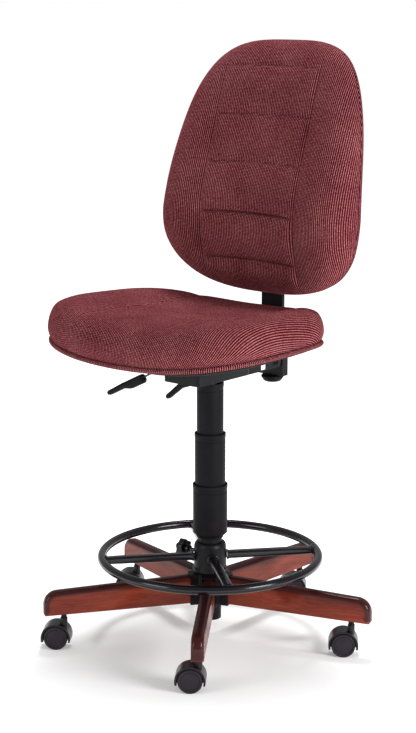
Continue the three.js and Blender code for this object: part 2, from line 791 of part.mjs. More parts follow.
function mechanism() {
  const group = new THREE.Group();
  const { halfWidth, front, back, bottom, top } = TOP_PLATE;
  const plate = prism(roundedRectangle(-halfWidth, front, halfWidth, back, 12), bottom, top, 3);
  const pinLength = 2 * (CHANNEL_HALF_WIDTH + 5);
  const pin = new THREE.CylinderGeometry(TILT_PIN_R, TILT_PIN_R, pinLength, 20);
  pin.rotateZ(Math.PI / 2).translate(0, TILT_PIVOT.y, TILT_PIVOT.z);
  group.add(
    piece('mechanism_housing', housing(), 'blackSteel'),
    piece('seat_plate', plate, 'blackSteel'),
    piece('height_lever', heightLeverBar(), 'blackSteel'),
    piece('height_lever_grip', leverGrip(HEIGHT_LEVER, HEIGHT_LEVER.pivotX), 'blackPlastic'),
    piece('tilt_lever', tiltLeverBar(), 'blackSteel'),
    piece('tilt_lever_grip', leverGrip(TILT_LEVER, TILT_LEVER.bendX), 'blackPlastic'),
    piece('tilt_pin', pin, 'brightSteel'),
    piece('back_carrier', backCarrier(), 'blackSteel'),
    piece('tension_knob', tensionKnob(), 'blackPlastic'),
  );
  return group;
}

// ---- Seat ---------------------------------------------------------------------------------

/** The seat's plan outline at an angle: a superellipse, a little wider at the front. */
function seatEdge(angle, inset) {
  const { halfWidth, halfDepth, centreY, power, frontFlare } = SEAT;
  const c = Math.cos(angle);
  const s = Math.sin(angle);
  const x = (halfWidth - inset) * Math.sign(c) * Math.abs(c) ** (2 / power);
  const y = (halfDepth - inset) * Math.sign(s) * Math.abs(s) ** (2 / power);
  return [x * (1 - (frontFlare * y) / halfDepth), centreY + y];
}

/**
 * A pad: a turned profile of [share of the outline, height] corners, stretched from its
 * circle to the outline that edge(angle) gives.
 */
function pad(profile, edge, sides) {
  const round = turned(profile, sides);
  return reshape(round, (x, y, height) => {
    const share = Math.hypot(x, y);
    const [edgeX, edgeY] = edge(Math.atan2(y, x));
    return [share * edgeX, share * edgeY, height];
  });
}

/** The whole seat is dished: its sides stand higher than its middle. */
function seatDish(x) {
  return SEAT.dish * (x / SEAT.halfWidth) ** 2;
}

/** The extra shape of the top of the foam: a dip behind and a soft front. */
function seatCrown(x, y) {
  const across = x / SEAT.halfWidth;
  const along = (y - SEAT.centreY) / SEAT.halfDepth;
  const dip = -8 * Math.exp(-((along - 0.6) ** 2) / 0.3) * (1 - across * across);
  const waterfall = -16 * Math.max(0, -along - 0.3) ** 1.5;
  return dip + waterfall;
}

function seatCushion() {
  const base = SEAT_BOARD_TOP + 2 * GAP;
  const groove = WELT_Z + WELT_R + 1.5;
  const profile = [
    [0, base],
    [0.45, base],
    [0.91, base],
    [0.93, groove],
    [0.98, groove + 0.5],
    [1.0, groove + 16],
    [0.99, groove + 34],
    [0.95, groove + 52],
    [0.86, groove + 65],
    [0.7, groove + 72],
    [0.42, groove + 75],
    [0, groove + 75],
  ];
  const inner = SEAT.centreY;
  const edge = (angle) => {
    const [x, y] = seatEdge(angle, 0);
    return [x, y - inner];
  };
  const cushion = pad(profile, edge, 40).translate(0, inner, 0);
  const shapedHeight = 40;
  return reshape(cushion, (x, y, z) => {
    const raised = Math.min(1, Math.max(0, (z - groove - 20) / shapedHeight));
    return [x, y, z + seatDish(x) + seatCrown(x, y) * raised];
  });
}

/** The board's underside is chamfered round its rim, so that it hides behind the welt. */
function seatBoard() {
  const inset = 2 * WELT_R + 6;
  const rim = SEAT_BOARD_TOP - 3;
  const profile = [
    [0, SEAT_BOARD_BOTTOM],
    [0.45, SEAT_BOARD_BOTTOM],
    [0.84, SEAT_BOARD_BOTTOM],
    [1, rim],
    [1, SEAT_BOARD_TOP],
    [0.9, SEAT_BOARD_TOP],
    [0.45, SEAT_BOARD_TOP],
    [0, SEAT_BOARD_TOP],
  ];
  const inner = SEAT.centreY;
  const edge = (angle) => {
    const [x, y] = seatEdge(angle, inset);
    return [x, y - inner];
  };
  const board = pad(profile, edge, 40).translate(0, inner, 0);
  return reshape(board, (x, y, z) => [x, y, z + seatDish(x)]);
}

/** The welt: a thin ring, its hole stretched from a circle to the seat's outline. */
function seatWelt() {
  const circle = 100;
  const ring = closed(new THREE.TorusGeometry(circle, WELT_R, 8, 60));
  return reshape(ring, (x, y, z) => {
    const outward = Math.hypot(x, y) - circle;
    const [edgeX, edgeY] = seatEdge(Math.atan2(y, x), WELT_R - outward);
    return [edgeX, edgeY, z + WELT_Z + seatDish(edgeX)];
  });
}

function seat() {
  const group = new THREE.Group();
  group.add(
    piece('seat_board', seatBoard(), 'plywood'),
    piece('seat_cushion', seatCushion(), 'fabric'),
    piece('seat_welt', seatWelt(), 'fabric'),
  );
  return group;
}

// ---- Back ---------------------------------------------------------------------------------

/** The front face of the inner board: upright at the bottom, leaning back above. */
function backY(z) {
  const bend = 830;
  return 193 + 240 * Math.max(0, (z - bend) / 1000) ** 1.4;
}

/** Depth of the foam in front of the board, fullest at the small of the back. */
function foamDepth(z) {
  return 49 + 29 * Math.exp(-(((z - 910) / 140) ** 2));
}

/** The back's outline seen from the front: wide low down, narrower to a rounded top. */
function backEdge(angle, inset) {
  const c = Math.cos(angle);
  const s = Math.sin(angle);
  const up = BACK_TOP - BACK_WIDEST_Z;
  const down = BACK_WIDEST_Z - BACK_BOTTOM;
  const power = s > 0 ? 3.6 : 2.6;
  const reach = s > 0 ? up : down;
  const x = (BACK_HALF_WIDTH - inset) * Math.sign(c) * Math.abs(c) ** (2 / power);
  const z = (reach - inset) * Math.sign(s) * Math.abs(s) ** (2 / power);
  const taper = s > 0 ? 1 - 0.12 * (z / up) : 1;
  return [x * taper, z];
}

/**
 * A layer of the back: a profile of [share of the outline, depth] corners, where the depth
 * runs from 0 at the board's front to the rear, stretched to the outline and bent.
 */
function backLayer(profile, inset, sides, depthAt) {
  const flat = pad(profile, (angle) => backEdge(angle, inset), sides);
  return reshape(flat, (x, up, depth) => {
    const z = BACK_WIDEST_Z + up;
    const wrap = BACK_WRAP * (x / BACK_HALF_WIDTH) ** 2;
    return [x, backY(z) - wrap + depthAt(depth, z), z];
  });
}

function backCushion() {
  const foam = [
    [0, -1],
    [0.5, -1],
    [0.75, -0.95],
    [0.9, -0.78],
    [0.97, -0.52],
    [1, -0.2],
    [0.99, 0.04],
    [0.96, 0.09],
    [0.955, -0.06],
    [0.5, -0.06],
    [0, -0.06],
  ];
  return backLayer(foam, 0, 44, (share, z) => share * foamDepth(z));
}

function backBoard() {
  const low = 0;
  const high = BOARD_THICKNESS;
  const board = [[0, low], [0.5, low], [1, low], [1, high], [0.5, high], [0, high]];
  return backLayer(board, 22, 44, (depth) => depth);
}

function backPanel() {
  const front = BOARD_THICKNESS + POST_SPACE;
  const rear = front + PANEL_THICKNESS;
  const panel = [
    [0, front],
    [0.5, front],
    [0.82, front - 1],
    [0.9, BOARD_THICKNESS + 2],
    [0.965, BOARD_THICKNESS + 2],
    [0.985, front - 4],
    [0.96, rear - 5],
    [0.88, rear],
    [0.5, rear + 1],
    [0, rear + 1],
  ];
  const shell = backLayer(panel, 2, 40, (depth) => depth);
  const half = POST_HALF_WIDTH + 5;
  const wayIn = block(
    [-half, POST_FRONT - 4, BACK_BOTTOM - 40],
    [half, POST_FRONT + POST_THICKNESS + 4, BACK_BOTTOM + 60],
  );
  return carve([shell], [wayIn]);
}

function postSleeve() {
  const inner = POST_HALF_WIDTH + GAP + 0.1;
  const front = POST_FRONT - GAP - 0.1;
  const back = POST_FRONT + POST_THICKNESS + GAP + 0.1;
  const wall = 1.6;
  return carve(
    [block([-inner - wall, front - wall, 728], [inner + wall, back + wall, POST_TOP + 4])],
    [block([-inner, front, 727], [inner, back, POST_TOP + 5])],
  );
}

function backPost() {
  const half = POST_HALF_WIDTH;
  const outline = roundedRectangle(-half, POST_BOTTOM, half, POST_TOP, 6);
  const flat = slab(outline, POST_THICKNESS, 3);
  return flat.translate(0, POST_FRONT + POST_THICKNESS / 2, 0);
}

function back() {
  const group = new THREE.Group();
  group.add(
    piece('back_post', backPost(), 'blackSteel'),
    piece('post_sleeve', postSleeve(), 'blackSteel'),
    piece('back_board', backBoard(), 'plywood'),
    piece('back_cushion', backCushion(), 'fabric'),
    piece('back_panel', backPanel(), 'fabric'),
  );
  return group;
}

// ---- The chair ----------------------------------------------------------------------------

const chair = new THREE.Group();
chair.name = 'drafting_chair';
chair.add(base(), column(), footring(), mechanism(), seat(), back());
chair.position.y = COLUMN_Y;

export default chair;
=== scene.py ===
# %% [markdown]
# # A drafting chair
#
# A drafting chair is a tall office chair: a padded seat and back on a telescoping column, a
# ring to rest the feet on, and five wooden legs on castors. This lesson dresses a plain
# model of one. The plain model, the frame, already has every part in its right place and
# knows how it moves. Each step replaces a part with a finer surface, or gives it a finish.
#
# Everything is in metres. Up is +Z, and the sitter looks along -Y.

import math

import bmesh
import bpy
import numpy as np
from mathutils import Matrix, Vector


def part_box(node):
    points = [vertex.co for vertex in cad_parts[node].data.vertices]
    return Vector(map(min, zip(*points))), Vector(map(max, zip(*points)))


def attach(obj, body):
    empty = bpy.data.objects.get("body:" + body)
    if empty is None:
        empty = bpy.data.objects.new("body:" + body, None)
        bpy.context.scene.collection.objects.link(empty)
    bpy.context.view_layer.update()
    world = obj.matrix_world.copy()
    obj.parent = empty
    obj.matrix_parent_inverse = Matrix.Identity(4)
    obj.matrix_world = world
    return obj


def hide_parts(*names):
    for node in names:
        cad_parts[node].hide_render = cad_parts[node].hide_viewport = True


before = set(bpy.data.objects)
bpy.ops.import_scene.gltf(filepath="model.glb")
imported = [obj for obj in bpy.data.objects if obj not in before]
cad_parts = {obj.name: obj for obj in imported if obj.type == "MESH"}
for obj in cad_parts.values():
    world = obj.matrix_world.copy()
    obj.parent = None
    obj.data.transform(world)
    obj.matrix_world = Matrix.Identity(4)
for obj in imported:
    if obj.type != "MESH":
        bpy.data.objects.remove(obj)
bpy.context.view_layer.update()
MM = 0.001

# %% [markdown]
# ## Where things are
#
# The column is the chair's real centre line, so shapes are easiest to write around it. Its
# place is read from the frame rather than typed in: the gas lift's tube is round, so the
# middle of its box is the axis.

# %% Find the column
tube_low, tube_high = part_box("gas_lift_tube")
COLUMN_X = (tube_low.x + tube_high.x) / 2
COLUMN_Y = (tube_low.y + tube_high.y) / 2
TURN = 2 * math.pi
print("column at", round(COLUMN_X, 4), round(COLUMN_Y, 4))


def centre_of(node):
    """The middle of a node's box."""
    low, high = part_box(node)
    return (low + high) / 2


# %% [markdown]
# ## From a grid of points to a mesh
#
# Most pieces here are grids: rows of points, each row a closed or open line. Joining every
# point to its neighbours gives four-sided faces. Building the face list as whole arrays is
# both short and fast. Where a row shrinks to one point, or the last column meets the first,
# the doubled points are merged, which closes the skin. A UV map in metres goes along, so
# that a weave keeps its real size.


# %% A mesh from a grid
def link_mesh(name, mesh, sharp):
    """An object for a mesh, smooth except where two faces meet at more than sharp degrees."""
    obj = bpy.data.objects.new(name, mesh)
    bpy.context.scene.collection.objects.link(obj)
    mesh.polygons.foreach_set("use_smooth", np.ones(len(mesh.polygons), bool))
    mesh.set_sharp_from_angle(angle=math.radians(sharp))
    return obj


def grid_mesh(name, points, uv, sharp=35, seam=None):
    """A mesh through rows of points, with a map of the same rows and columns.

    Each face joins points (i, j), (i, j+1), (i+1, j+1) and (i+1, j). Doubled points are
    merged, and faces are turned to point outwards. seam is a number for every point.
    """
    rows, columns = points.shape[:2]
    i, j = np.meshgrid(np.arange(rows - 1), np.arange(columns - 1), indexing="ij")
    corner = i * columns + j
    quads = np.stack([corner, corner + 1, corner + columns + 1, corner + columns], -1)
    faces = quads.reshape(-1, 4)
    uvs = np.asarray(uv, float).reshape(-1, 2)
    mesh = bpy.data.meshes.new(name)
    mesh.vertices.add(rows * columns)
    mesh.vertices.foreach_set("co", points.astype(np.float32).ravel())
    mesh.loops.add(faces.size)
    mesh.loops.foreach_set("vertex_index", faces.astype(np.int32).ravel())
    mesh.polygons.add(len(faces))
    mesh.polygons.foreach_set("loop_start", np.arange(0, faces.size, 4, dtype=np.int32))
    mesh.update(calc_edges=True)
    layer = mesh.uv_layers.new(name="cloth")
    layer.data.foreach_set("uv", uvs[faces.ravel()].astype(np.float32).ravel())
    if seam is not None:
        depth = mesh.attributes.new("seam", "FLOAT", "POINT")
        depth.data.foreach_set("value", np.asarray(seam, np.float32).ravel())
    work = bmesh.new()
    work.from_mesh(mesh)
    bmesh.ops.remove_doubles(work, verts=work.verts, dist=2e-6)
    bmesh.ops.recalc_face_normals(work, faces=work.faces)
    work.to_mesh(mesh)
    work.free()
    return link_mesh(name, mesh, sharp)


# %% [markdown]
# ## Profiles and turned parts
#
# A turner works from a profile. Real corners are never razor sharp: a small round catches
# the light and sells the material. So every profile is drawn with sharp corners and then
# softened, each corner replaced by a short curve that starts and ends a little way off.


# %% Profiles
def softened(corners, radius, steps=4, closed=False):
    """Each corner C becomes the curve (1-t)^2 A + 2t(1-t) C + t^2 B.

    A and B lie radius away from C along its two sides, or halfway if a side is short.
    """
    corners = np.asarray(corners, float)
    count = len(corners)
    t = np.linspace(0, 1, steps + 1)[:, None]
    out = []
    for k in range(count):
        here = corners[k]
        if not closed and k in (0, count - 1):
            out.append(here[None])
            continue
        before, after = corners[k - 1], corners[(k + 1) % count]
        to_before, to_after = before - here, after - here
        reach = min(radius, *(np.linalg.norm(side) * 0.45 for side in (to_before, to_after)))
        a = here + to_before / np.linalg.norm(to_before) * reach
        b = here + to_after / np.linalg.norm(to_after) * reach
        out.append((1 - t) ** 2 * a + 2 * t * (1 - t) * here + t**2 * b)
    line = np.concatenate(out)
    return np.concatenate([line, line[:1]]) if closed else line


def distance_along(line):
    """Each point's distance from the line's start: a running sum of |p(k+1) - p(k)|."""
    return np.concatenate([[0], np.cumsum(np.linalg.norm(np.diff(line, axis=0), axis=1))])


def evenly(line, count):
    """The same line with count points at even distances along it."""
    along = distance_along(line)
    where = np.linspace(0, along[-1], count)
    return np.stack([np.interp(where, along, axis) for axis in line.T], -1)


def turned_grid(profile, steps=72):
    """A profile of (radius, height) carried round Z: x = r cos a, y = r sin a, z = height."""
    angle = np.linspace(0, TURN, steps + 1)
    radius, height = profile[:, :1], profile[:, 1:]
    points = np.stack([radius * np.cos(angle), radius * np.sin(angle),
                       height + 0 * angle], -1)
    along = distance_along(profile)
    around = angle * profile[:, 0].max()
    uv = np.stack(np.broadcast_arrays(around[None, :], along[:, None]), -1)
    return points, uv


def turn_z(points, angle):
    """Points turned about Z: x' = x cos a - y sin a, y' = x sin a + y cos a."""
    c, s = math.cos(angle), math.sin(angle)
    x, y, z = points[..., 0], points[..., 1], points[..., 2]
    return np.stack([c * x - s * y, s * x + c * y, z], -1)


def shifted(points, x, y):
    return points + np.array([x, y, 0.0])


def round_column(points, angle):
    """Points drawn about the origin, turned about Z and moved to the column."""
    return shifted(turn_z(points, angle), COLUMN_X, COLUMN_Y)


def fifth_turn(number):
    """The direction of leg 1 to 5: straight back first, then 72 degrees on for each."""
    return math.pi / 2 + (number - 1) * TURN / 5


print("softened corner count", len(softened([[0, 0], [1, 0], [1, 1]], 0.1)))

# %% [markdown]
# ## Writing shader maths as Python
#
# A material's patterns come from small sums: a sine for a rib, a product for a weave. Adding
# a Math node for each by hand is slow to write and hard to read. The class below wraps a
# socket, and Python's own operators add the nodes. Any other node comes from Look.node,
# which applies a node's settings first and its sockets after.


# %% Sockets that add up
class Wire:
    """A number travelling through a material, which + - * ** act on."""

    def __init__(self, look, socket):
        self.look, self.socket = look, socket

    def math(self, operation, *others, swap=False):
        terms = [self, *others]
        if swap:
            terms.reverse()
        return self.look.node("ShaderNodeMath", dict(enumerate(terms)), operation=operation)[0]

    def __add__(self, other):
        return self.math("ADD", other)

    def __sub__(self, other):
        return self.math("SUBTRACT", other)

    def __rsub__(self, other):
        return self.math("SUBTRACT", other, swap=True)

    def __mul__(self, other):
        return self.math("MULTIPLY", other)

    def __pow__(self, other):
        return self.math("POWER", other)

    __radd__ = __add__

    def between(self, low, high, start=0.0, end=1.0):
        """A smooth step: start below low, end above high."""
        sockets = {"Value": self, "From Min": low, "From Max": high, "To Min": start,
                   "To Max": end}
        made = self.look.node("ShaderNodeMapRange", sockets, interpolation_type="SMOOTHSTEP")
        return made[0]


class Look:
    """A material while it is wired: node() adds a node and returns its outputs."""

    def __init__(self, name):
        self.material = bpy.data.materials.new(name)
        self.material.use_nodes = True
        self.tree = self.material.node_tree
        self.tree.nodes.clear()

    def node(self, kind, sockets=None, stops=None, **settings):
        made = self.tree.nodes.new(kind)
        for key, value in settings.items():
            setattr(made, key, value)
        if stops:
            ramp = made.color_ramp.elements
            while len(ramp) < len(stops):
                ramp.new(0.5)
            for element, (place, color) in zip(ramp, stops):
                element.position, element.color = place, (*color, 1)
        for key, value in (sockets or {}).items():
            if isinstance(value, Wire):
                self.tree.links.new(value.socket, made.inputs[key])
            elif isinstance(value, tuple) and made.inputs[key].type == "RGBA":
                made.inputs[key].default_value = (*value, 1)[:4]
            else:
                made.inputs[key].default_value = value
        return [Wire(self, output) for output in made.outputs]

    def place(self, uv=False, scale=(1, 1, 1)):
        """Object coordinates in metres, or the piece's own UV map, scaled."""
        if uv:
            source = self.node("ShaderNodeUVMap", uv_map="cloth")[0]
        else:
            source = self.node("ShaderNodeTexCoord")[3]
        return self.node("ShaderNodeMapping", {"Vector": source, "Scale": scale})[0]

    def noise(self, where, scale, detail=3.0, roughness=0.55, distortion=0.0):
        return self.node("ShaderNodeTexNoise", {
            "Vector": where, "Scale": scale, "Detail": detail, "Roughness": roughness,
            "Distortion": distortion})[0]

    def blend(self, factor, first, second):
        """A colour between first and second."""
        return self.node("ShaderNodeMix", {0: factor, 6: first, 7: second}, data_type="RGBA")[2]

    def bump(self, height, distance, strength, under=None):
        sockets = {"Height": height, "Distance": distance, "Strength": strength}
        if under is not None:
            sockets["Normal"] = under
        return self.node("ShaderNodeBump", sockets)[0]

    def surface(self, **sockets):
        """The finish itself. A name such as Base_Color is the socket 'Base Color'."""
        named = {key.replace("_", " "): value for key, value in sockets.items()}
        shader = self.node("ShaderNodeBsdfPrincipled", named)[0]
        output = self.tree.nodes.new("ShaderNodeOutputMaterial")
        self.tree.links.new(shader.socket, output.inputs["Surface"])
        return self.material


# %% [markdown]
# ## The camera and the light
#
# The camera stands higher than the back, forty degrees round to the sitter's left, with a
# long lens that keeps the proportions honest. The room is white with three soft lights, one
# of them high behind the chair, so shadows are short and grey.

# %% Camera
CAMERA_TURN = math.radians(40.15)
CAMERA_DISTANCE = 3.65
CAMERA_HEIGHT = 1.36
CAMERA_TILT = 0.209
CAMERA_SIDE = -0.0045
CAMERA_LENS = 88.4

camera_data = bpy.data.cameras.new("camera")
camera_data.lens = CAMERA_LENS
camera = bpy.data.objects.new("camera", camera_data)
bpy.context.scene.collection.objects.link(camera)
turn_cos, turn_sin = math.cos(CAMERA_TURN), math.sin(CAMERA_TURN)
camera.location = (
    COLUMN_X + CAMERA_DISTANCE * turn_sin + CAMERA_SIDE * turn_cos,
    COLUMN_Y - CAMERA_DISTANCE * turn_cos + CAMERA_SIDE * turn_sin,
    CAMERA_HEIGHT,
)
camera.rotation_euler = (math.pi / 2 - CAMERA_TILT, 0, CAMERA_TURN)
bpy.context.scene.camera = camera
bpy.context.scene.view_settings.view_transform = "Standard"
print("camera at", [round(value, 3) for value in camera.location])


# %% Lights
LIGHT_AIM_Z = 0.55


def soft_light(name, side, ahead, height, size, power):
    """A square area light, aimed at the column. Sizes are in metres and power in watts.

    side and ahead are its distances from the column to the camera's right and towards it.
    """
    data = bpy.data.lights.new(name, "AREA")
    data.size, data.energy = size, power
    light = bpy.data.objects.new(name, data)
    bpy.context.scene.collection.objects.link(light)
    light.location = (
        COLUMN_X + side * turn_cos + ahead * turn_sin,
        COLUMN_Y + side * turn_sin - ahead * turn_cos,
        height,
    )
    aim = Vector((COLUMN_X, COLUMN_Y, LIGHT_AIM_Z)) - light.location
    light.rotation_euler = aim.to_track_quat("-Z", "Y").to_euler()


soft_light("key", 1.75, 1.5, 1.0, 0.9, 46)
soft_light("fill", -2.0, 1.4, 1.0, 1.1, 20)
soft_light("top", 0.1, -0.85, 3.0, 0.55, 58)

# The room lights the chair softly, and looks plain white to the camera.
ROOM_LIGHT = 0.40
world = bpy.data.worlds.new("room")
world.use_nodes = True
room = world.node_tree.nodes["Background"]
room.inputs["Color"].default_value = (1, 1, 1, 1)
seen = world.node_tree.nodes.new("ShaderNodeLightPath").outputs["Is Camera Ray"]
strength = world.node_tree.nodes.new("ShaderNodeMapRange")
strength.inputs["To Min"].default_value = ROOM_LIGHT
strength.inputs["To Max"].default_value = 1.0
world.node_tree.links.new(seen, strength.inputs["Value"])
world.node_tree.links.new(strength.outputs[0], room.inputs["Strength"])
bpy.context.scene.world = world


# %% Floor
FLOOR_REACH = 9.0
GLOW_START, GLOW_FULL = 0.30, 0.75


def round_floor():
    """A flat disc, z = 0, whose rings crowd together near the chair."""
    radius = FLOOR_REACH * np.linspace(0, 1, 40)[:, None] ** 2
    angle = np.linspace(0, TURN, 73)[None, :]
    points = np.stack(np.broadcast_arrays(radius * np.cos(angle), radius * np.sin(angle),
                                          0.0 * radius), -1)
    floor = grid_mesh("floor", shifted(points, COLUMN_X, COLUMN_Y), points[..., :2])
    if floor.data.polygons[len(floor.data.polygons) // 2].normal.z < 0:
        floor.data.flip_normals()
    return floor


# The floor glows faintly under the chair and more from GLOW_START to GLOW_FULL, so that it
# melts into the white room.
floor = round_floor()
paper = Look("white_floor")
grain = paper.noise(paper.place(), 40.0)
away = paper.node("ShaderNodeVectorMath", {0: paper.place()}, operation="LENGTH")[1]
glow = paper.blend(away.between(GLOW_START, GLOW_FULL), (0.16, 0.16, 0.16),
                   (0.75, 0.75, 0.75))
floor.data.materials.append(paper.surface(
    Base_Color=paper.blend(grain, (0.93, 0.93, 0.93), (0.96, 0.96, 0.96)),
    Roughness=0.75, Specular_IOR_Level=0.2, Emission_Color=glow,
    Emission_Strength=1.0))
print("floor faces", len(floor.data.polygons))

# %% [markdown]
# ## The cloth
#
# The upholstery is a ribbed wool blend: raised ribs about four millimetres apart, spun from
# burgundy yarn with a paler fleck. The rib crests carry a painted highlight and the valleys
# painted shade. Ribs are sines of the distance across the cloth, crossed by a finer sine for
# the picks of the weave. Fine noise, a little longer along the rib, makes the heather. The
# pattern reads the pad's own UV map, so ribs run over the edges as sewn cloth does. Seams
# carry an attribute, which darkens them with painted shade.


# %% Ribbed cloth
RIB_PITCH = 4.3 * MM
PICK_PITCH = 3.0 * MM


def ribbed_cloth(name, contrast=1.0, seams=True, lift=0.0):
    """Height = 0.75 rib + 0.25 pick, rib = (1 + sin(2 pi u / pitch + wander)) / 2.

    The colour follows the height, with a painted highlight on the crests and painted shade in
    the valleys, and the yarn's noise. contrast scales the part the height plays, and lift
    makes the whole cloth paler, or darker where it is negative.
    """
    look = Look(name)
    where = look.place(uv=True)
    u, v = look.node("ShaderNodeSeparateXYZ", {0: where})[:2]
    wander = look.noise(look.place(uv=True, scale=(1, 0.12, 1)), 260.0, detail=2.0)
    rib = ((u * (TURN / RIB_PITCH) + wander * 0.9).math("SINE") + 1) * 0.5
    pick = ((v * (TURN / PICK_PITCH) + rib * 2.2).math("SINE") + 1) * 0.5
    yarn = look.noise(look.place(uv=True, scale=(1, 0.45, 1)), 420.0, detail=5.0,
                      roughness=0.75)
    patch = look.noise(look.place(uv=True), 9.0, detail=3.0)
    height = rib * 0.75 + pick * 0.25
    # The height term is painted highlight on the rib crests and painted shade in the valleys;
    # yarn and patch are the cloth's own heather.
    tone = (height**1.4) * (0.85 * contrast) + yarn * 1.15 + patch * 0.30 + (lift - 0.62)
    color = look.node("ShaderNodeValToRGB", {0: tone}, stops=[
        (0.0, (0.018, 0.0025, 0.0035)), (0.32, (0.064, 0.0080, 0.0125)),
        (0.62, (0.158, 0.0240, 0.034)), (1.0, (0.50, 0.220, 0.210))])[0]
    relief = height + yarn * 0.35
    if seams:
        # Painted shade: the seam attribute darkens the cloth along the seam creases.
        seam = look.node("ShaderNodeAttribute", attribute_name="seam")[2]
        color = look.blend(seam.between(0.25, 1.0, 0, 0.55), color, (0.022, 0.005, 0.007))
    coarse = look.bump(patch, 1.2 * MM, 0.35)
    return look.surface(Base_Color=color, Roughness=(1 - height * 0.1) * 0.9,
                        Normal=look.bump(relief, 0.9 * MM, 0.9, under=coarse),
                        Sheen_Weight=0.05, Sheen_Roughness=0.4,
                        Sheen_Tint=(1.0, 0.16, 0.24), Specular_IOR_Level=0.0)


cloth = ribbed_cloth("ribbed_burgundy_cloth")
# The welt's contrast of 1.3 makes its painted rib highlight and shade stronger.
welt_cloth = ribbed_cloth("ribbed_welt_cloth", contrast=1.3, seams=False, lift=-0.14)
print("cloth wired with", len(cloth.node_tree.nodes), "nodes")

# %% [markdown]
# ## Wood, metal and plastic
#
# The legs are cherry-stained hardwood under a gloss lacquer: long grain, a few darker
# figures where the stain soaked in, and a clear coat that gives one sharp highlight. Steel
# parts are powder coated, which leaves a faint orange-peel. Moulded plastic has a finer
# texture and slightly paler, rubbed patches. Each is one short function of a few numbers.


# %% Lacquered wood
def lacquered_wood():
    """Grain is noise stretched 14 times along the leg, with a broader figure and pores.

    The seam attribute marks the rounded upper edges and the end, which are drawn darker.
    """
    look = Look("cherry_wood")
    fibre = look.noise(look.place(uv=True, scale=(1, 14, 1)), 30.0, detail=6.0, distortion=0.4)
    figure = look.noise(look.place(uv=True, scale=(1, 3.2, 1)), 7.0, detail=3.0, distortion=1.2)
    pores = look.noise(look.place(uv=True, scale=(1, 30, 1)), 90.0, detail=2.0)
    tone = fibre * 0.45 + figure * 0.75 - 0.1
    color = look.node("ShaderNodeValToRGB", {0: tone}, stops=[
        (0.12, (0.036, 0.0045, 0.0032)), (0.36, (0.116, 0.0155, 0.0085)),
        (0.58, (0.212, 0.034, 0.0170)), (0.85, (0.320, 0.066, 0.030))])[0]
    color = look.blend(pores.between(0.60, 0.72, 0, 0.55), color, (0.025, 0.005, 0.004))
    # The marked rounded upper edges and the end are blended towards a dark brown.
    edge = look.node("ShaderNodeAttribute", attribute_name="seam")[2]
    color = look.blend(edge * 0.93, color, (0.026, 0.0045, 0.0045))
    return look.surface(Base_Color=color, Roughness=0.36 + fibre * 0.12,
                        Normal=look.bump(fibre, 0.25 * MM, 0.25),
                        Coat_Weight=0.35, Coat_Roughness=0.08, Specular_IOR_Level=0.05)


def coated(name, color, worn, roughness, peel, gloss=0.16, coat=0.0, scale=260.0):
    """A paint or moulding: colour drifts towards worn where a broad noise is high.

    Roughness drifts with the same noise, and a fine noise of height peel is its texture.
    """
    look = Look(name)
    where = look.place()
    broad = look.noise(where, 22.0, detail=4.0)
    fine = look.noise(where, scale * 4, detail=2.0)
    specks = look.noise(where, 1500.0, detail=1.0)
    mixed = look.blend(broad.between(0.42, 0.75), color, worn)
    mixed = look.blend(specks.between(0.62, 0.8, 0, 0.5), mixed, worn)
    return look.surface(Base_Color=mixed, Specular_IOR_Level=gloss,
                        Roughness=roughness + broad * 0.12,
                        Normal=look.bump(fine, peel, 0.5), Coat_Weight=coat,
                        Coat_Roughness=0.12)


def turned_steel():
    """Bright steel with rings left by the lathe: noise stretched flat, thin in height."""
    look = Look("turned_steel")
    rings = look.noise(look.place(scale=(1, 1, 60)), 40.0, detail=3.0)
    smear = look.noise(look.place(), 30.0, detail=3.0)
    return look.surface(Base_Color=look.blend(smear, (0.56, 0.56, 0.58), (0.70, 0.70, 0.72)),
                        Metallic=1.0, Roughness=rings * 0.2 + 0.16,
                        Normal=look.bump(rings, 0.05 * MM, 0.3))


def plywood():
    """Plies seen from the edge are bands of height; the faces show broad grain."""
    look = Look("plywood")
    grain = look.noise(look.place(scale=(14, 1, 14)), 12.0, detail=6.0, distortion=0.6)
    plies = look.noise(look.place(scale=(0.01, 0.01, 1)), 480.0, detail=0.0)
    color = look.blend(grain, (0.28, 0.17, 0.085), (0.46, 0.31, 0.17))
    color = look.blend(plies.between(0.45, 0.62, 0, 0.5), color, (0.14, 0.08, 0.04))
    return look.surface(Base_Color=color, Roughness=grain * 0.1 + 0.72,
                        Normal=look.bump(grain, 0.3 * MM, 0.4))


wood = lacquered_wood()
board = plywood()
steel = turned_steel()
ring_paint = coated("gloss_black_paint", (0.0030, 0.0020, 0.0042), (0.006, 0.004, 0.008),
                    0.15, 0.03 * MM, gloss=0.30, coat=0.15)
powder = coated("black_powder_coat", (0.0038, 0.0032, 0.0044), (0.007, 0.006, 0.008),
                0.36, 0.12 * MM, gloss=0.15)
moulded = coated("black_moulding", (0.0048, 0.0042, 0.0053), (0.008, 0.007, 0.009),
                 0.46, 0.10 * MM, gloss=0.08, scale=420.0)
shiny_moulding = coated("gloss_moulding", (0.0035, 0.0030, 0.0036), (0.008, 0.007, 0.008),
                        0.22, 0.05 * MM, gloss=0.28, coat=0.15)
castor_nylon = coated("castor_nylon", (0.0200, 0.0150, 0.0215), (0.030, 0.024, 0.032),
                      0.42, 0.08 * MM, gloss=0.16, scale=420.0)
hood_nylon = coated("hood_nylon", (0.0045, 0.0028, 0.0050), (0.009, 0.006, 0.009),
                    0.26, 0.06 * MM, gloss=0.24, coat=0.08, scale=420.0)
dust_cloth = coated("dust_cloth", (0.010, 0.009, 0.010), (0.020, 0.018, 0.020),
                    0.85, 0.30 * MM, gloss=0.05)
natural_nylon = coated("natural_nylon", (0.62, 0.60, 0.53), (0.70, 0.68, 0.62),
                       0.45, 0.05 * MM)
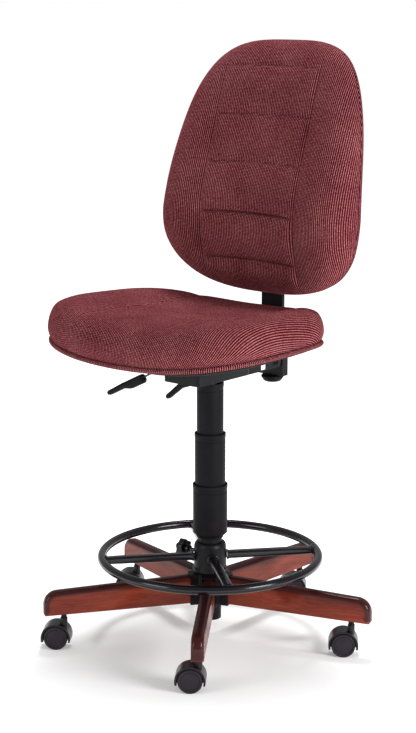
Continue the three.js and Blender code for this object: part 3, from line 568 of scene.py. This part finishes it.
print("finishes", len(bpy.data.materials))


# %% Handing a piece over
def hand_over(obj, body, slot, material, *nodes):
    """Gives a piece its finish and its body, and hides the frame nodes it stands for. slot is
    not used.
    """
    obj.data.materials.clear()
    obj.data.materials.append(material)
    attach(obj, body)
    if nodes:
        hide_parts(*nodes)
    return obj


# %% [markdown]
# ## Cushions
#
# A chair pad is foam cut to an outline, with cloth pulled over and tucked under. Its shape
# is a profile from the middle of its face, over a full shoulder and under to the board, that
# is stretched from a circle to the pad's outline. The outline is a superellipse, a rounded
# shape between an ellipse and a box. Its points are spaced evenly, or the corners would get
# all of them. Distances along the profile give the cloth's map, so ribs stay parallel on
# the face and sweep down round the corners as they do on a real pad.


# %% Outlines and pads
def superellipse(angle, half_x, half_y, power):
    """x = a |cos|^(2/p), y = b |sin|^(2/p), with the signs of cos and sin."""
    c, s = np.cos(angle), np.sin(angle)
    return (half_x * np.sign(c) * np.abs(c) ** (2 / power),
            half_y * np.sign(s) * np.abs(s) ** (2 / power))


def even_outline(edge, count):
    """The outline edge(angle) as count + 1 points at even distances, closed on itself."""
    dense = np.stack(edge(np.linspace(0, TURN, 20001)), -1)
    return evenly(dense, count + 1)


MEAN_REACH = 0.25


def pad_grid(corners, edge, rows=150, columns=560, round_off=0.03):
    """Points share * edge, depth for a profile of (share, depth) corners, and their map.

    MEAN_REACH turns shares into metres while the profile is softened. The map runs outwards
    from the middle by the distance over the pad's surface, towards the edge point.
    """
    profile = softened(np.array(corners) * [MEAN_REACH, 1], round_off, steps=8)
    share, depth = (evenly(profile, rows) / [MEAN_REACH, 1]).T
    outline = even_outline(edge, columns)
    reach = np.linalg.norm(outline, axis=1)
    flat = share[:, None, None] * outline[None]
    step = np.hypot(np.diff(share)[:, None] * reach[None], np.diff(depth)[:, None])
    along = np.concatenate([np.zeros((1, columns + 1)), np.cumsum(step, axis=0)])
    uv = along[..., None] * (outline / reach[:, None])[None]
    return flat, np.broadcast_to(depth[:, None], flat.shape[:2]), uv


def ridge(distance, width):
    """A narrow bell: exp(-(distance / width)^2)."""
    return np.exp(-((distance / width) ** 2))


def ramp(value, low, high):
    """0 below low, 1 above high, and a smooth step 3t^2 - 2t^3 between."""
    t = np.clip((value - low) / (high - low), 0, 1)
    return t * t * (3 - 2 * t)


def rumple(x, y, seed=0.0):
    """Slow unevenness of foam under cloth, within -1 and 1: three crossed sines."""
    return (np.sin(31 * x + 17 * y + seed) + np.sin(-23 * x + 41 * y + 2.1 * seed + 1)
            + np.sin(57 * x - 13 * y + 0.7 * seed + 2)) / 3


# %% [markdown]
# ### The seat
#
# The seat is dished, its sides stand higher than its middle, it dips under the sitter and
# falls away softly at the front edge. Two seams run front to back and part the sitting
# panel from the bolsters, and they fade out over the front edge.

# %% Seat pad
SEAT_HALF_X, SEAT_HALF_Y, SEAT_MIDDLE_Y = 0.260, 0.232, -0.060
SEAT_POWER, SEAT_FLARE, SEAT_DISH = 3.2, 0.09, 0.025
SEAT_GROOVE_Z, SEAT_BASE_Z = 0.638, 0.6266
WELT_Z, WELT_RADIUS = 0.6316, 0.0048
SEAT_SEAM_X, SEAM_END_Y, CROSS_SEAM_Y = 0.123, 0.235, 0.198


def seat_edge(angle, inset=0.0):
    """The seat's outline about its own middle, a little wider at the front."""
    x, y = superellipse(angle, SEAT_HALF_X - inset, SEAT_HALF_Y - inset, SEAT_POWER)
    return x * (1 - SEAT_FLARE * y / SEAT_HALF_Y), y


def dish(x):
    return SEAT_DISH * (x / SEAT_HALF_X) ** 2


def seat_relief(x, y, share):
    """Height added to the face, and the seams' strength from 0 to 1, which sets how much
    painted shade darkens them.

    Height = dip + waterfall + bolsters + lip + puff - seams + rumple, where the lip is the
    soft roll along the front edge and the puff fills the sitting panel.
    """
    across, along = x / SEAT_HALF_X, y / SEAT_HALF_Y
    dip = -0.013 * np.exp(-((along - 0.35) ** 2) / 0.45) * (1 - across**2)
    waterfall = -0.010 * np.maximum(0, -along - 0.3) ** 1.5
    bolster = 0.0095 * ramp(np.abs(across), 0.20, 0.95)
    lip = 0.008 * ridge(along + 0.82, 0.20)
    seam_line = SEAT_SEAM_X + 0.012 * ramp(y, -0.10, 0.22) - 0.05 * ramp(-y, 0.19, 0.245) ** 2
    sides = ridge(np.abs(x) - seam_line, 0.0030) * ramp(-y, SEAM_END_Y, 0.19)
    soft_sides = ridge(np.abs(x) - seam_line, 0.016) * ramp(-y, SEAM_END_Y, 0.17)
    cross = ridge(y + CROSS_SEAM_Y, 0.004) * ramp(-np.abs(x), -0.118, -0.09)
    puff = 0.0035 * np.cos(np.clip(across * 3.2, -math.pi / 2, math.pi / 2))
    seam = np.clip(sides * 0.3 + cross * 0.2, 0, 1) * ramp(-share, -0.99, -0.93)
    lift = dip + waterfall + bolster + lip + puff
    lift = lift - 0.0016 * sides - 0.0020 * soft_sides - 0.0008 * cross
    return lift + 0.0007 * rumple(x, y), seam


def seat_pad():
    """The profile's height, plus the dish and the relief, on the seat's outline."""
    base, groove = SEAT_BASE_Z, SEAT_GROOVE_Z
    corners = [(0, groove + 0.074), (0.42, groove + 0.074), (0.70, groove + 0.0725),
               (0.86, groove + 0.0675), (0.95, groove + 0.055), (0.992, groove + 0.035),
               (1.004, groove + 0.016), (0.985, groove + 0.0005), (0.972, groove - 0.001),
               (0.966, base), (0.45, base), (0, base)]
    flat, height, uv = pad_grid(corners, seat_edge)
    x, y = flat[..., 0], flat[..., 1]
    reach = np.hypot(x, y)
    share = reach / reach[np.argmax(reach[:, 0])]
    relief, seam = seat_relief(x, y, share)
    raised = ramp(height, groove + 0.012, groove + 0.062)
    wall = ridge(height - groove - 0.018, 0.02)
    out = 1 + 0.004 * wall * rumple(x * 1.3, y * 1.3, 3.0)
    z = height + dish(x) + relief * raised
    points = np.stack([x * out, y * out + SEAT_MIDDLE_Y + COLUMN_Y, z], -1)
    top = (np.arange(len(height)) < len(height) // 2)[:, None]
    return grid_mesh("seat_pad", points, uv, sharp=80, seam=seam * raised * top)


pad = hand_over(seat_pad(), "seat", "fabric", cloth, "seat_cushion")
print("seat pad", len(pad.data.polygons), "faces")

# %% [markdown]
# ### The welt
#
# A welt is a cord wrapped in the same cloth, a little darker here, that runs round the
# bottom edge. Its ribs run across it, so distance along the path is u in its map.


# %% Tubes along a path
def outward(path):
    """Unit directions square to a closed path of (x, y) points, pointing outwards."""
    ahead = np.roll(path[:-1], -1, axis=0) - np.roll(path[:-1], 1, axis=0)
    out = np.stack([ahead[:, 1], -ahead[:, 0]], -1)
    out /= np.linalg.norm(out, axis=1, keepdims=True)
    return np.concatenate([out, out[:1]])


def tube_grid(path, radius, sides=20):
    """Rings about a closed path: centre + radius (cos b out + sin b up), and their map."""
    b = np.linspace(0, TURN, sides + 1)
    out = np.pad(outward(path[:, :2]), ((0, 0), (0, 1)))
    up = np.array([0.0, 0.0, 1.0])
    ring = np.cos(b)[None, :, None] * out[:, None] + np.sin(b)[None, :, None] * up[None, None]
    points = path[:, None] + radius * ring
    along = distance_along(path)
    uv = np.stack(np.broadcast_arrays(along[:, None], radius * b[None]), -1)
    return points, uv


def seat_welt():
    """A roll whose outer side is flush with the seat's outline, lifted by the dish."""
    x, y = even_outline(lambda angle: seat_edge(angle, WELT_RADIUS), 600).T
    path = np.stack([x, y + SEAT_MIDDLE_Y + COLUMN_Y, WELT_Z + dish(x)], -1)
    return grid_mesh("seat_welt_roll", *tube_grid(path, WELT_RADIUS), sharp=80)


welt = hand_over(seat_welt(), "seat", "fabric", welt_cloth, "seat_welt")
print("welt", len(welt.data.polygons), "faces")

# %% [markdown]
# ### The back
#
# The back's pad leans away from the sitter above the small of the back, where the foam is
# fullest, and its sides wrap forwards. Two long seams and five short ones sew it to the
# board in channels. Between seams the cloth swells, most of all in the lumbar rolls, so
# each roll's upper edge catches the light. The rear is a thinner padded shell.

# %% Back pad
BACK_LOW_Z, BACK_TOP_Z, BACK_WIDE_Z = 0.718, 1.246, 0.890
BACK_HALF_X, BACK_WRAP = 0.246, 0.034
BACK_SEAM_X = 0.1245
BACK_SEAM_Z = (0.795, 0.895, 0.998, 1.096, 1.196)
LUMBAR_TOP_Z = 0.95


def back_front(z):
    """y of the board's face: upright low down, then 0.240 (z - 0.83)^1.4 further back."""
    return 0.193 + 0.240 * np.maximum(0, z - 0.83) ** 1.4


def foam_depth(z):
    """The foam's thickness, fullest at the small of the back: a + b exp(-((z - c) / w)^2)."""
    return 0.049 + 0.029 * np.exp(-(((z - 0.91) / 0.14) ** 2))


def back_edge(angle, inset=0.0):
    """The back's outline about its widest height: squarer above, rounder below."""
    above = np.sin(angle) > 0
    power = np.where(above, 3.6, 2.6)
    reach = np.where(above, BACK_TOP_Z - BACK_WIDE_Z, BACK_WIDE_Z - BACK_LOW_Z) - inset
    x, z = superellipse(angle, BACK_HALF_X - inset, reach, power)
    return x * (1 - 0.12 * np.maximum(z, 0) / (BACK_TOP_Z - BACK_WIDE_Z)), z


def back_relief(x, z):
    """Depth added to the face (towards the sitter) and the seam's strength, 0 to 1, which sets
    the painted shade along the seams.

    Between seams t runs from 0 to 1 and the swell is full (4 t (1 - t))^0.55, leaning
    upwards. Below LUMBAR_TOP_Z the rolls are fuller and the seams firmer.
    """
    inside = ramp(-np.abs(x), -BACK_SEAM_X, -BACK_SEAM_X + 0.012)
    uprights = (ridge(np.abs(x) - BACK_SEAM_X, 0.0028)
                * ramp(z, 0.750, 0.775) * ramp(-z, -1.215, -1.185))
    shoulder = (ridge(np.abs(x) - BACK_SEAM_X, 0.017)
                * ramp(z, 0.74, 0.80) * ramp(-z, -1.22, -1.15))
    swell, level = 0 * x, 0 * x
    for low, high in zip(BACK_SEAM_Z[:-1], BACK_SEAM_Z[1:]):
        t = np.clip((z - low) / (high - low), 0, 1)
        full = 0.0085 if high < LUMBAR_TOP_Z else 0.0040
        swell = swell + full * (4 * t * (1 - t)) ** 0.55 * (0.75 + 0.5 * t)
    for height in BACK_SEAM_Z:
        firm = 1.0 if height < LUMBAR_TOP_Z else 0.85
        level = level + firm * ridge(z - height + 0.004 * (x / BACK_SEAM_X) ** 2, 0.0026)
    hem = 0.006 * ramp(-z, -BACK_SEAM_Z[0], -BACK_SEAM_Z[0] + 0.03) * ramp(z, 0.73, 0.765)
    side = (0.0045 * ridge(np.abs(x) - 0.178, 0.035)
            * ramp(z, 0.76, 0.85) * ramp(-z, -1.2, -1.1))
    lift = (inside * (swell + hem) + side - 0.0014 * uprights - 0.0018 * shoulder
            - 0.0030 * level * inside + 0.0008 * rumple(x, z, 5.0))
    return lift, np.clip(uprights * 0.4 + level * inside, 0, 1)


def back_layer(name, corners, inset, depth_of, relief=None, rows=150, round_off=0.02):
    """A layer of the back: (share, depth) stretched to the outline, bent and wrapped."""
    flat, depth, uv = pad_grid(corners, lambda angle: back_edge(angle, inset), rows=rows,
                               round_off=round_off)
    x, z = flat[..., 0], flat[..., 1] + BACK_WIDE_Z
    y = back_front(z) - BACK_WRAP * (x / BACK_HALF_X) ** 2 + depth_of(depth, x, z)
    seam = 0 * x
    if relief:
        lift, seam = relief(x, z)
        face = ramp(-depth, 0.012, 0.040)
        y, seam = y - lift * face, seam * face
    points = np.stack([x + COLUMN_X, y + COLUMN_Y, z], -1)
    return grid_mesh(name, points, uv, sharp=80, seam=seam)


FOAM = 0.05
front_corners = [(0, -FOAM), (0.5, -FOAM), (0.76, -0.97 * FOAM), (0.9, -0.80 * FOAM),
                 (0.972, -0.54 * FOAM), (1.003, -0.2 * FOAM), (1.003, 0.0075),
                 (0.985, 0.0094), (0.945, 0.0094), (0.935, -0.06 * FOAM),
                 (0.5, -0.06 * FOAM), (0, -0.06 * FOAM)]


def pad_depth(depth, x, z):
    """Depth in front of the board grows with the foam's; behind it, it stays as drawn."""
    return np.where(depth < 0, depth / FOAM * foam_depth(z), depth)


back_pad = back_layer("back_pad", front_corners, 0.0, pad_depth, back_relief, rows=190,
                      round_off=0.014)
hand_over(back_pad, "backrest", "fabric", cloth, "back_cushion")


# %% Rear shell
def shell_depth(depth, x, z):
    """The shell's depth, held behind the post where the post comes in from below."""
    way_in = ramp(-np.abs(x), -0.046, -0.036) * ramp(-z, -0.800, -0.775)
    return depth + way_in * np.maximum(0, 0.0245 - depth) + 0.0007 * rumple(x, z, 9.0)


shell_corners = [(0, 0.0365), (0.5, 0.0365), (0.88, 0.0355), (0.955, 0.0315),
                 (0.995, 0.021), (1.003, 0.0130), (0.998, 0.0098), (0.90, 0.0100),
                 (0.84, 0.0235), (0.5, 0.0250), (0, 0.0250)]
shell = back_layer("back_shell", shell_corners, 0.001, shell_depth, rows=90,
                   round_off=0.008)
hand_over(shell, "backrest", "fabric", cloth, "back_panel")
print("back pad", len(back_pad.data.polygons), "shell", len(shell.data.polygons))

# %% [markdown]
# ## The wooden legs
#
# Each leg is a board standing on edge, its top falling gently to a rounded end. A router
# has run a generous round along the upper edges and only broken the lower ones. The shape
# is the board's outline, seen from the side, carried across its thickness: near each face
# the outline moves inwards along a quarter circle, whose radius changes round the outline.

# %% Legs
LEG_ROOT, LEG_REACH, LEG_HALF = 0.034, 0.3577, 0.013
LEG_LOW, LEG_END_TOP, LEG_ROOT_TOP, LEG_END_ROUND = 0.075, 0.126, 0.138, 0.030
STEM_REACH = 0.315


def leg_outline(count=260):
    """Root, underside, end, quarter circle and top, as (x, z) points evenly spaced."""
    turn = np.linspace(0, math.pi / 2, 14)
    shoulder = np.stack([LEG_REACH + LEG_END_ROUND * (np.cos(turn) - 1),
                         LEG_END_TOP + LEG_END_ROUND * (np.sin(turn) - 1)], -1)
    corners = np.concatenate([[(LEG_ROOT, LEG_LOW + 0.003), (LEG_REACH, LEG_LOW)], shoulder,
                              [(LEG_ROOT, LEG_ROOT_TOP)]])
    return evenly(softened(corners, 0.003, closed=True), count)


def wooden_leg(number):
    """Points = outline + inset * inward, y; then turned to the leg's own direction."""
    outline = leg_outline()
    inward = -outward(outline)
    open_edge = ramp(-inward[:, 1] - 0.8 * inward[:, 0], -0.1, 0.6)
    radius = 0.0012 + 0.0080 * open_edge
    middle = np.stack([np.clip(outline[:, 0], 0.05, 0.335),
                       0.107 - 0.024 * np.clip(outline[:, 0] - 0.05, 0, 0.29)], -1)
    rows, depths, edges = [], [], []
    for t in np.linspace(0, 1, 7):
        face = outline + radius[:, None] * inward
        rows.append(middle + (face - middle) * t)
        depths.append(-LEG_HALF + 0 * radius)
        edges.append(0.8 * t**6 * open_edge)
    for turn in np.linspace(0.15, math.pi / 2, 9):
        rows.append(outline + (radius * (1 - math.sin(turn)))[:, None] * inward)
        depths.append(-LEG_HALF + radius * (1 - math.cos(turn)))
        edges.append(np.minimum(1, 0.8 + turn) * open_edge)
    rows, depths, edges = np.array(rows), np.array(depths), np.array(edges)
    rows = np.concatenate([rows, rows[::-1]])
    depths = np.concatenate([depths, -depths[::-1]])
    edges = np.concatenate([edges, edges[::-1]])
    x, z = rows[..., 0], rows[..., 1]
    points = round_column(np.stack([x, depths, z], -1), fifth_turn(number))
    uv = np.stack([x + 0.17 * number, z + depths + 0.31 * number], -1)
    return grid_mesh(f"wooden_leg_{number}", points, uv, sharp=50, seam=edges)


for number in range(1, 6):
    hand_over(wooden_leg(number), "base", "wood", wood, f"leg_{number}")
print("five legs made")

# %% [markdown]
# ## Keeping a frame part, with softer edges
#
# Pressed and welded steel parts are already the right shape in the frame. What they lack is
# the small round on each edge that catches the light. A copy is cleaned first, its doubled
# points merged and its flat faces joined up, and then a Bevel modifier rounds each edge.


# %% Rounded copies
def rounded_copy(node, width=0.8 * MM, sharp=35, bevel_angle=32):
    """A copy of a frame part with rounded edges, standing for the part."""
    work = bmesh.new()
    work.from_mesh(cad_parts[node].data)
    bmesh.ops.remove_doubles(work, verts=work.verts, dist=5e-6)
    bmesh.ops.dissolve_limit(work, angle_limit=math.radians(0.6), verts=work.verts,
                             edges=work.edges)
    mesh = bpy.data.meshes.new(node + "_rounded")
    work.to_mesh(mesh)
    work.free()
    obj = link_mesh(node + "_rounded", mesh, sharp)
    bevel = obj.modifiers.new("edges", "BEVEL")
    bevel.width, bevel.segments = width, 2
    bevel.limit_method, bevel.angle_limit = "ANGLE", math.radians(bevel_angle)
    return obj


def turned_piece(name, profile, x=COLUMN_X, y=COLUMN_Y, round_off=0.8 * MM, closed=False,
                 steps=72):
    """A turned part standing at (x, y): its profile in millimetres, corners softened."""
    line = softened(np.array(profile) * MM, round_off, closed=closed)
    points, uv = turned_grid(line, steps)
    return grid_mesh(name, shifted(points, x, y), uv, sharp=40)


# %% [markdown]
# ## Castors
#
# A twin-wheel castor has a moulded hood over two wheels on one axle, and a steel stem that
# plugs into the leg. Each wheel is turned: a rounded tread, a shallow step and a cap that
# is slightly domed. All five trail the same way, as if the chair had just been rolled.

# %% Castors
CASTOR_HEADING = math.radians(216.5)
CASTOR_TRAIL, WHEEL_RADIUS = 16 * MM, 25 * MM
WHEEL = [(0, 20.6), (10, 20.5), (18.2, 20.1), (18.9, 19.2), (19.8, 19.2), (20.4, 20.6),
         (23.2, 20.8), (24.9, 19.6), (25.0, 17), (25.0, 6.5), (24.6, 4.2), (3.3, 4.0),
         (3.3, 18), (0, 18)]
STEM = [(0, 52), (4, 52), (4, 66.3), (6, 66.3), (6, 69), (5.4, 70), (6, 71), (6, 74.5),
        (5, 74.5), (5, 104), (3.5, 106), (0, 106)]


def stem_place(number):
    """Where a leg's castor stem stands, as (x, y)."""
    angle = fifth_turn(number)
    return COLUMN_X + STEM_REACH * math.cos(angle), COLUMN_Y + STEM_REACH * math.sin(angle)


def castor_wheel(number, side, hand):
    """The turned profile laid on its side, so that its axis runs along the axle."""
    points, uv = turned_grid(softened(np.array(WHEEL) * MM, 0.8 * MM), 64)
    laid = np.stack([CASTOR_TRAIL + points[..., 0], side * points[..., 2],
                     WHEEL_RADIUS + points[..., 1]], -1)
    x, y = stem_place(number)
    placed = shifted(turn_z(laid, CASTOR_HEADING), x, y)
    return grid_mesh(f"castor_{number}_{hand}_tyre", placed, uv, sharp=45)


for number in range(1, 6):
    for side, hand in ((1, "left"), (-1, "right")):
        hand_over(castor_wheel(number, side, hand), f"castor_{number}_{hand}",
                  "castor_plastic", castor_nylon, f"castor_{number}_wheel_{hand}")
    hood = rounded_copy(f"castor_{number}_hood", 0.7 * MM, sharp=40, bevel_angle=40)
    hand_over(hood, f"castor_{number}", "castor_plastic", hood_nylon, f"castor_{number}_hood")
    x, y = stem_place(number)
    stem = turned_piece(f"castor_{number}_pin", STEM, x, y, 0.5 * MM, steps=32)
    hand_over(stem, "base", "bright_steel", powder, f"castor_{number}_stem")
print("five castors made")

# %% [markdown]
# ## Hub and column
#
# The legs meet in a steel hub. Out of it rises the gas lift's tapered tube, and three
# moulded covers, each sliding over the next, hide the rest. A cover has a thin bead at its
# upper lip and a faint groove under it, which is where the light breaks on a black tube.

# %% Hub and column
hand_over(rounded_copy("base_hub", 1.2 * MM), "base", "black_steel", powder, "base_hub")
TUBE = [(5.3, 40), (23.4, 40), (25, 143), (25, 300), (22, 300), (22, 143), (21, 46), (5.3, 46)]
hand_over(turned_piece("lift_tube", TUBE, closed=True), "base", "black_steel", powder,
          "gas_lift_tube")


def cover_profile(radius, bottom, top, neck=None):
    """Outside upwards, over the lip and down the inside, in millimetres."""
    inner = radius - 1.8
    lip = [(radius, top - 16.4), (radius - 0.5, top - 16), (radius - 0.5, top - 15.2),
           (radius, top - 14.8), (radius, top - 8.2), (radius + 0.7, top - 7.6),
           (radius + 0.7, top), (inner, top)]
    if neck is None:
        return [(inner, bottom), (radius, bottom), *lip]
    shoulder = bottom + 12
    return [(neck, bottom), (neck + 1.8, bottom), (neck + 2.6, bottom + 4),
            (radius, shoulder - 1), (radius, shoulder + 3), *lip, (inner, shoulder + 1),
            (neck, bottom + 3)]


for node, body, sizes in (
    ("cover_lower", "cover_lower", (36.2, 219, 335, 26)),
    ("cover_middle", "cover_middle", (32.2, 308, 445)),
    ("cover_upper", "lift", (28.0, 408, 553)),
):
    cover = turned_piece(node + "_sleeve", cover_profile(*sizes), closed=True,
                         round_off=0.5 * MM, steps=96)
    hand_over(cover, body, "black_plastic", moulded, node)
print("column made")

# %% [markdown]
# ## The footring
#
# The ring is bent tube, black and glossy from thousands of heels. Four flattened spokes are
# welded between it and a short sleeve, and each weld leaves a bead. A lobed knob clamps the
# sleeve to the column.

# %% Footring
RING_Z, RING_RADIUS, RING_TUBE = 0.1777, 0.2292, 0.0093
SPOKE_TURN = math.radians(-40.35)


def footring():
    angle = np.linspace(0, TURN, 241)
    path = np.stack([COLUMN_X + RING_RADIUS * np.cos(angle),
                     COLUMN_Y + RING_RADIUS * np.sin(angle), RING_Z + 0 * angle], -1)
    return grid_mesh("foot_ring", *tube_grid(path, RING_TUBE, 28), sharp=80)


def box_section(half_y, half_z, power, count):
    """A rounded rectangle as a superellipse: points (y, z)."""
    return np.stack(superellipse(np.linspace(0, TURN, count + 1), half_y, half_z, power), -1)


def lofted(name, stations, place, power=4.5, count=36):
    """A bar along X through stations (x, half width, half height, middle z), ends closed.

    place moves its points to where the bar belongs.
    """
    first, last = stations[0], stations[-1]
    rows = [(first[0], 0, 0, first[3]), *stations, (last[0], 0, 0, last[3])]
    grid = []
    for x, half_y, half_z, middle in rows:
        y, z = box_section(max(half_y, 1e-6), max(half_z, 1e-6), power, count).T
        if half_y == 0:
            y, z = 0 * y, 0 * z
        grid.append(np.stack([x + 0 * y, y, middle + z], -1))
    points = np.array(grid)
    return grid_mesh(name, place(points), points[..., :2], sharp=50)


def spoke_stations():
    """Flattened towards the ring, where the tube is crimped before welding."""
    start, end = 0.0368, 0.2212
    return [(start, 0.0098, 0.0078, RING_Z), (start + 0.15, 0.0098, 0.0078, RING_Z),
            (end - 0.012, 0.0100, 0.0074, RING_Z), (end, 0.0100, 0.0068, RING_Z)]


def weld_bead(name, x, half_y, half_z, angle):
    """A thin lumpy ring round a bar's end: radius 1.6 mm, rippled round the bar."""
    around = np.linspace(0, TURN, 61)
    y, z = superellipse(around, half_y, half_z, 3.2)
    across = np.linspace(0, TURN, 11)
    thick = 0.0016 * (1 + 0.14 * np.sin(19 * around))
    grid = np.stack([x + thick[:, None] * np.cos(across)[None],
                     y[:, None] * (1 + thick[:, None] * np.sin(across) / half_y),
                     RING_Z + z[:, None] * (1 + thick[:, None] * np.sin(across) / half_z)], -1)
    return grid_mesh(name, round_column(grid, angle), grid[..., :2], sharp=80)


hand_over(footring(), "footring", "black_steel", ring_paint, "footring")
for number in range(1, 5):
    angle = SPOKE_TURN + (number - 1) * TURN / 4
    spoke = lofted(f"ring_spoke_{number}", spoke_stations(),
                   lambda points: round_column(points, angle))
    hand_over(spoke, "footring", "black_steel", ring_paint, f"spoke_{number}")
    for end, x in (("inner", 0.0372), ("outer", 0.2205)):
        bead = weld_bead(f"weld_{number}_{end}", x, 0.0102, 0.0084, angle)
        hand_over(bead, "footring", "black_steel", ring_paint)
RING_SLEEVE = [(25.4, 146), (36.5, 146), (36.5, 151), (34.3, 155), (34, 156), (34, 200),
               (32, 206.5), (29.5, 209), (25.4, 209)]
hand_over(turned_piece("ring_sleeve", RING_SLEEVE, closed=True), "footring", "black_steel",
          powder, "footring_hub")
hand_over(rounded_copy("footring_knob", 1.4 * MM, sharp=50), "footring_knob",
          "black_plastic", shiny_moulding, "footring_knob")
print("footring made")

# %% [markdown]
# ## The mechanism
#
# Under the seat a pressed housing takes the column, and a channel behind it carries the
# back on a pin. Two levers reach out on the sitter's right. A fluted knob under the post
# sets how hard the back springs. A blank paper label is stuck to the channel.

# %% Housing, carrier and post
for node, body, width in (("mechanism_housing", "seat", 1.2), ("seat_plate", "seat", 1.0),
                          ("back_carrier", "back_frame", 1.4), ("back_post", "back_frame", 1.6),
                          ("height_lever", "height_lever", 0.8),
                          ("tilt_lever", "tilt_lever", 0.8)):
    hand_over(rounded_copy(node, width * MM), body, "black_steel", powder, node)


FLUTES, FLUTE_DEPTH = 26, 0.5 * MM


def fluted(points):
    """Pulls the rim in and out: radius - depth (1 - |cos(n a / 2)|) where it is wide."""
    x, y = points[..., 0], points[..., 1]
    radius, angle = np.hypot(x, y), np.arctan2(y, x)
    cut = FLUTE_DEPTH * (1 - np.abs(np.cos(FLUTES * angle / 2))) * ramp(radius, 0.0215, 0.024)
    share = 1 - cut / np.maximum(radius, 1e-6)
    return np.stack([x * share, y * share, points[..., 2]], -1)


KNOB = [(0, 520.5), (14.5, 520.5), (18.5, 522.0), (23.0, 528), (24.5, 530.5), (24.5, 533.0),
        (23.5, 534.5), (12, 535.0), (4, 535.0), (4, 540.5), (0, 540.5)]
knob_middle = centre_of("tension_knob")
knob_points, knob_uv = turned_grid(softened(np.array(KNOB) * MM, 1.0 * MM), 208)
knob_placed = shifted(fluted(knob_points), knob_middle.x, knob_middle.y)
tension_knob = grid_mesh("tension_knob_fluted", knob_placed, knob_uv, sharp=45)
hand_over(tension_knob, "tension_knob", "black_plastic", moulded, "tension_knob")


# %% Lever grips
GRIP_LENGTH, THINNEST = 0.116, 4e-4


def grip_stations():
    """A flat rounded tip, a slim waist and a deeper root with a bulge below."""
    s = np.linspace(0, 1, 40)
    cap = np.sqrt(np.clip(1 - (1 - np.clip(s / 0.09, 0, 1)) ** 2, 0, 1))
    tail = np.sqrt(np.clip(1 - (1 - np.clip((1 - s) / 0.05, 0, 1)) ** 2, 0, 1))
    low = -0.0062 - 0.0072 * ramp(s, 0.42, 0.66)
    high = 0.0054 + 0.0014 * ramp(s, 0.1, 0.5)
    half_z = (high - low) / 2 * np.minimum(cap, 0.35 + 0.65 * tail)
    half_y = (0.0080 + 0.0012 * ramp(s, 0.35, 0.75)) * np.minimum(cap, 0.5 + 0.5 * tail)
    return list(zip(s * GRIP_LENGTH, np.maximum(half_y, THINNEST),
                    np.maximum(half_z, THINNEST), (high + low) / 2))


def lever_grip(name, tip, fall):
    """The grip's stations along X, tilted by the bar's fall, its tip put in place."""
    c, s = math.cos(fall), math.sin(fall)

    def place(points):
        x, y, z = points[..., 0], points[..., 1], points[..., 2]
        return np.stack([tip[0] + c * x - s * z, tip[1] + y, tip[2] + s * x + c * z], -1)

    return lofted(name, grip_stations(), place, power=2.8, count=40)


for node, body, tip, fall in (
    ("height_lever_grip", "height_lever", (-0.235, -0.060, 0.505), math.atan(92 / 185)),
    ("tilt_lever_grip", "tilt_lever", (-0.172, 0.058, 0.484), math.atan(87 / 112)),
):
    grip = lever_grip(node + "_moulded", (COLUMN_X + tip[0], COLUMN_Y + tip[1], tip[2]), fall)
    hand_over(grip, body, "black_plastic", moulded, node)


# %% Bolts and label
def bolt_head(name, middle, toward, radius=0.0062, height=0.0045):
    """A hexagon head on a washer, its axis along +X or -X (toward is 1 or -1)."""
    washer = softened(np.array([(0, 0), (radius * 1.35, 0), (radius * 1.35, 0.0012),
                                (radius, 0.0012)]), 0.0003)
    dome = softened(np.array([(radius, 0.0012), (radius, height - 0.0008),
                              (radius - 0.0012, height), (0, height)]), 0.0003)
    points, uv = turned_grid(np.concatenate([washer, dome]), 48)
    x, y, z = points[..., 0], points[..., 1], points[..., 2]
    angle = np.arctan2(y, x)
    flat = math.cos(math.pi / 6) / np.cos((angle % (math.pi / 3)) - math.pi / 6)
    share = np.where(z > 0.0011, flat, 1.0)
    placed = np.stack([middle[0] + toward * z, middle[1] + x * share,
                       middle[2] + y * share], -1)
    return grid_mesh(name, placed, uv, sharp=25)


pin = centre_of("tilt_pin")
pin_low, pin_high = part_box("tilt_pin")
for toward, hand, face in ((1, "left", pin_high.x), (-1, "right", pin_low.x)):
    head = bolt_head(f"tilt_bolt_{hand}", (face - toward * 0.001, pin.y, pin.z), toward)
    hand_over(head, "seat", "bright_steel", powder)


def paper_label():
    """A blank label, 14 by 11 mm and 0.2 mm thick, on the channel's left side."""
    half_y, half_z = 0.0070, 0.0056
    middle_x, middle_y, middle_z = COLUMN_X + 0.0321, COLUMN_Y + 0.1362, 0.5665
    y, z = box_section(half_y, half_z, 9, 40).T
    rings = [(0.0, 0.0), (1.0, 0.0), (1.0, 0.0002), (0.0, 0.0002)]
    grid = np.array([np.stack([middle_x + lift + 0 * y, middle_y + share * y,
                               middle_z + share * z], -1) for share, lift in rings])
    return grid_mesh("blank_label", grid, grid[..., 1:], sharp=40)


label_look = Look("label_paper")
fibre = label_look.noise(label_look.place(), 500.0)
label_paper = label_look.surface(
    Base_Color=label_look.blend(fibre, (0.62, 0.61, 0.64), (0.80, 0.80, 0.82)),
    Roughness=0.55)
hand_over(paper_label(), "seat", "black_plastic", label_paper)
print("mechanism made")

# %% [markdown]
# ## What stays as the frame has it
#
# The lift's inner parts, the pins and the boards are plain shapes that are hidden or nearly
# so. They keep their frame meshes and get a real finish.

# %% Finishes for kept parts
for node, material in (
    ("guide_bushing", natural_nylon), ("thrust_bearing", steel), ("piston_rod", steel),
    ("gas_cylinder", steel), ("release_pin", steel), ("tilt_pin", steel),
    ("post_sleeve", moulded), ("seat_board", dust_cloth), ("back_board", board),
):
    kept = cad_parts[node]
    kept.data.materials.clear()
    kept.data.materials.append(material)
print("kept parts finished")
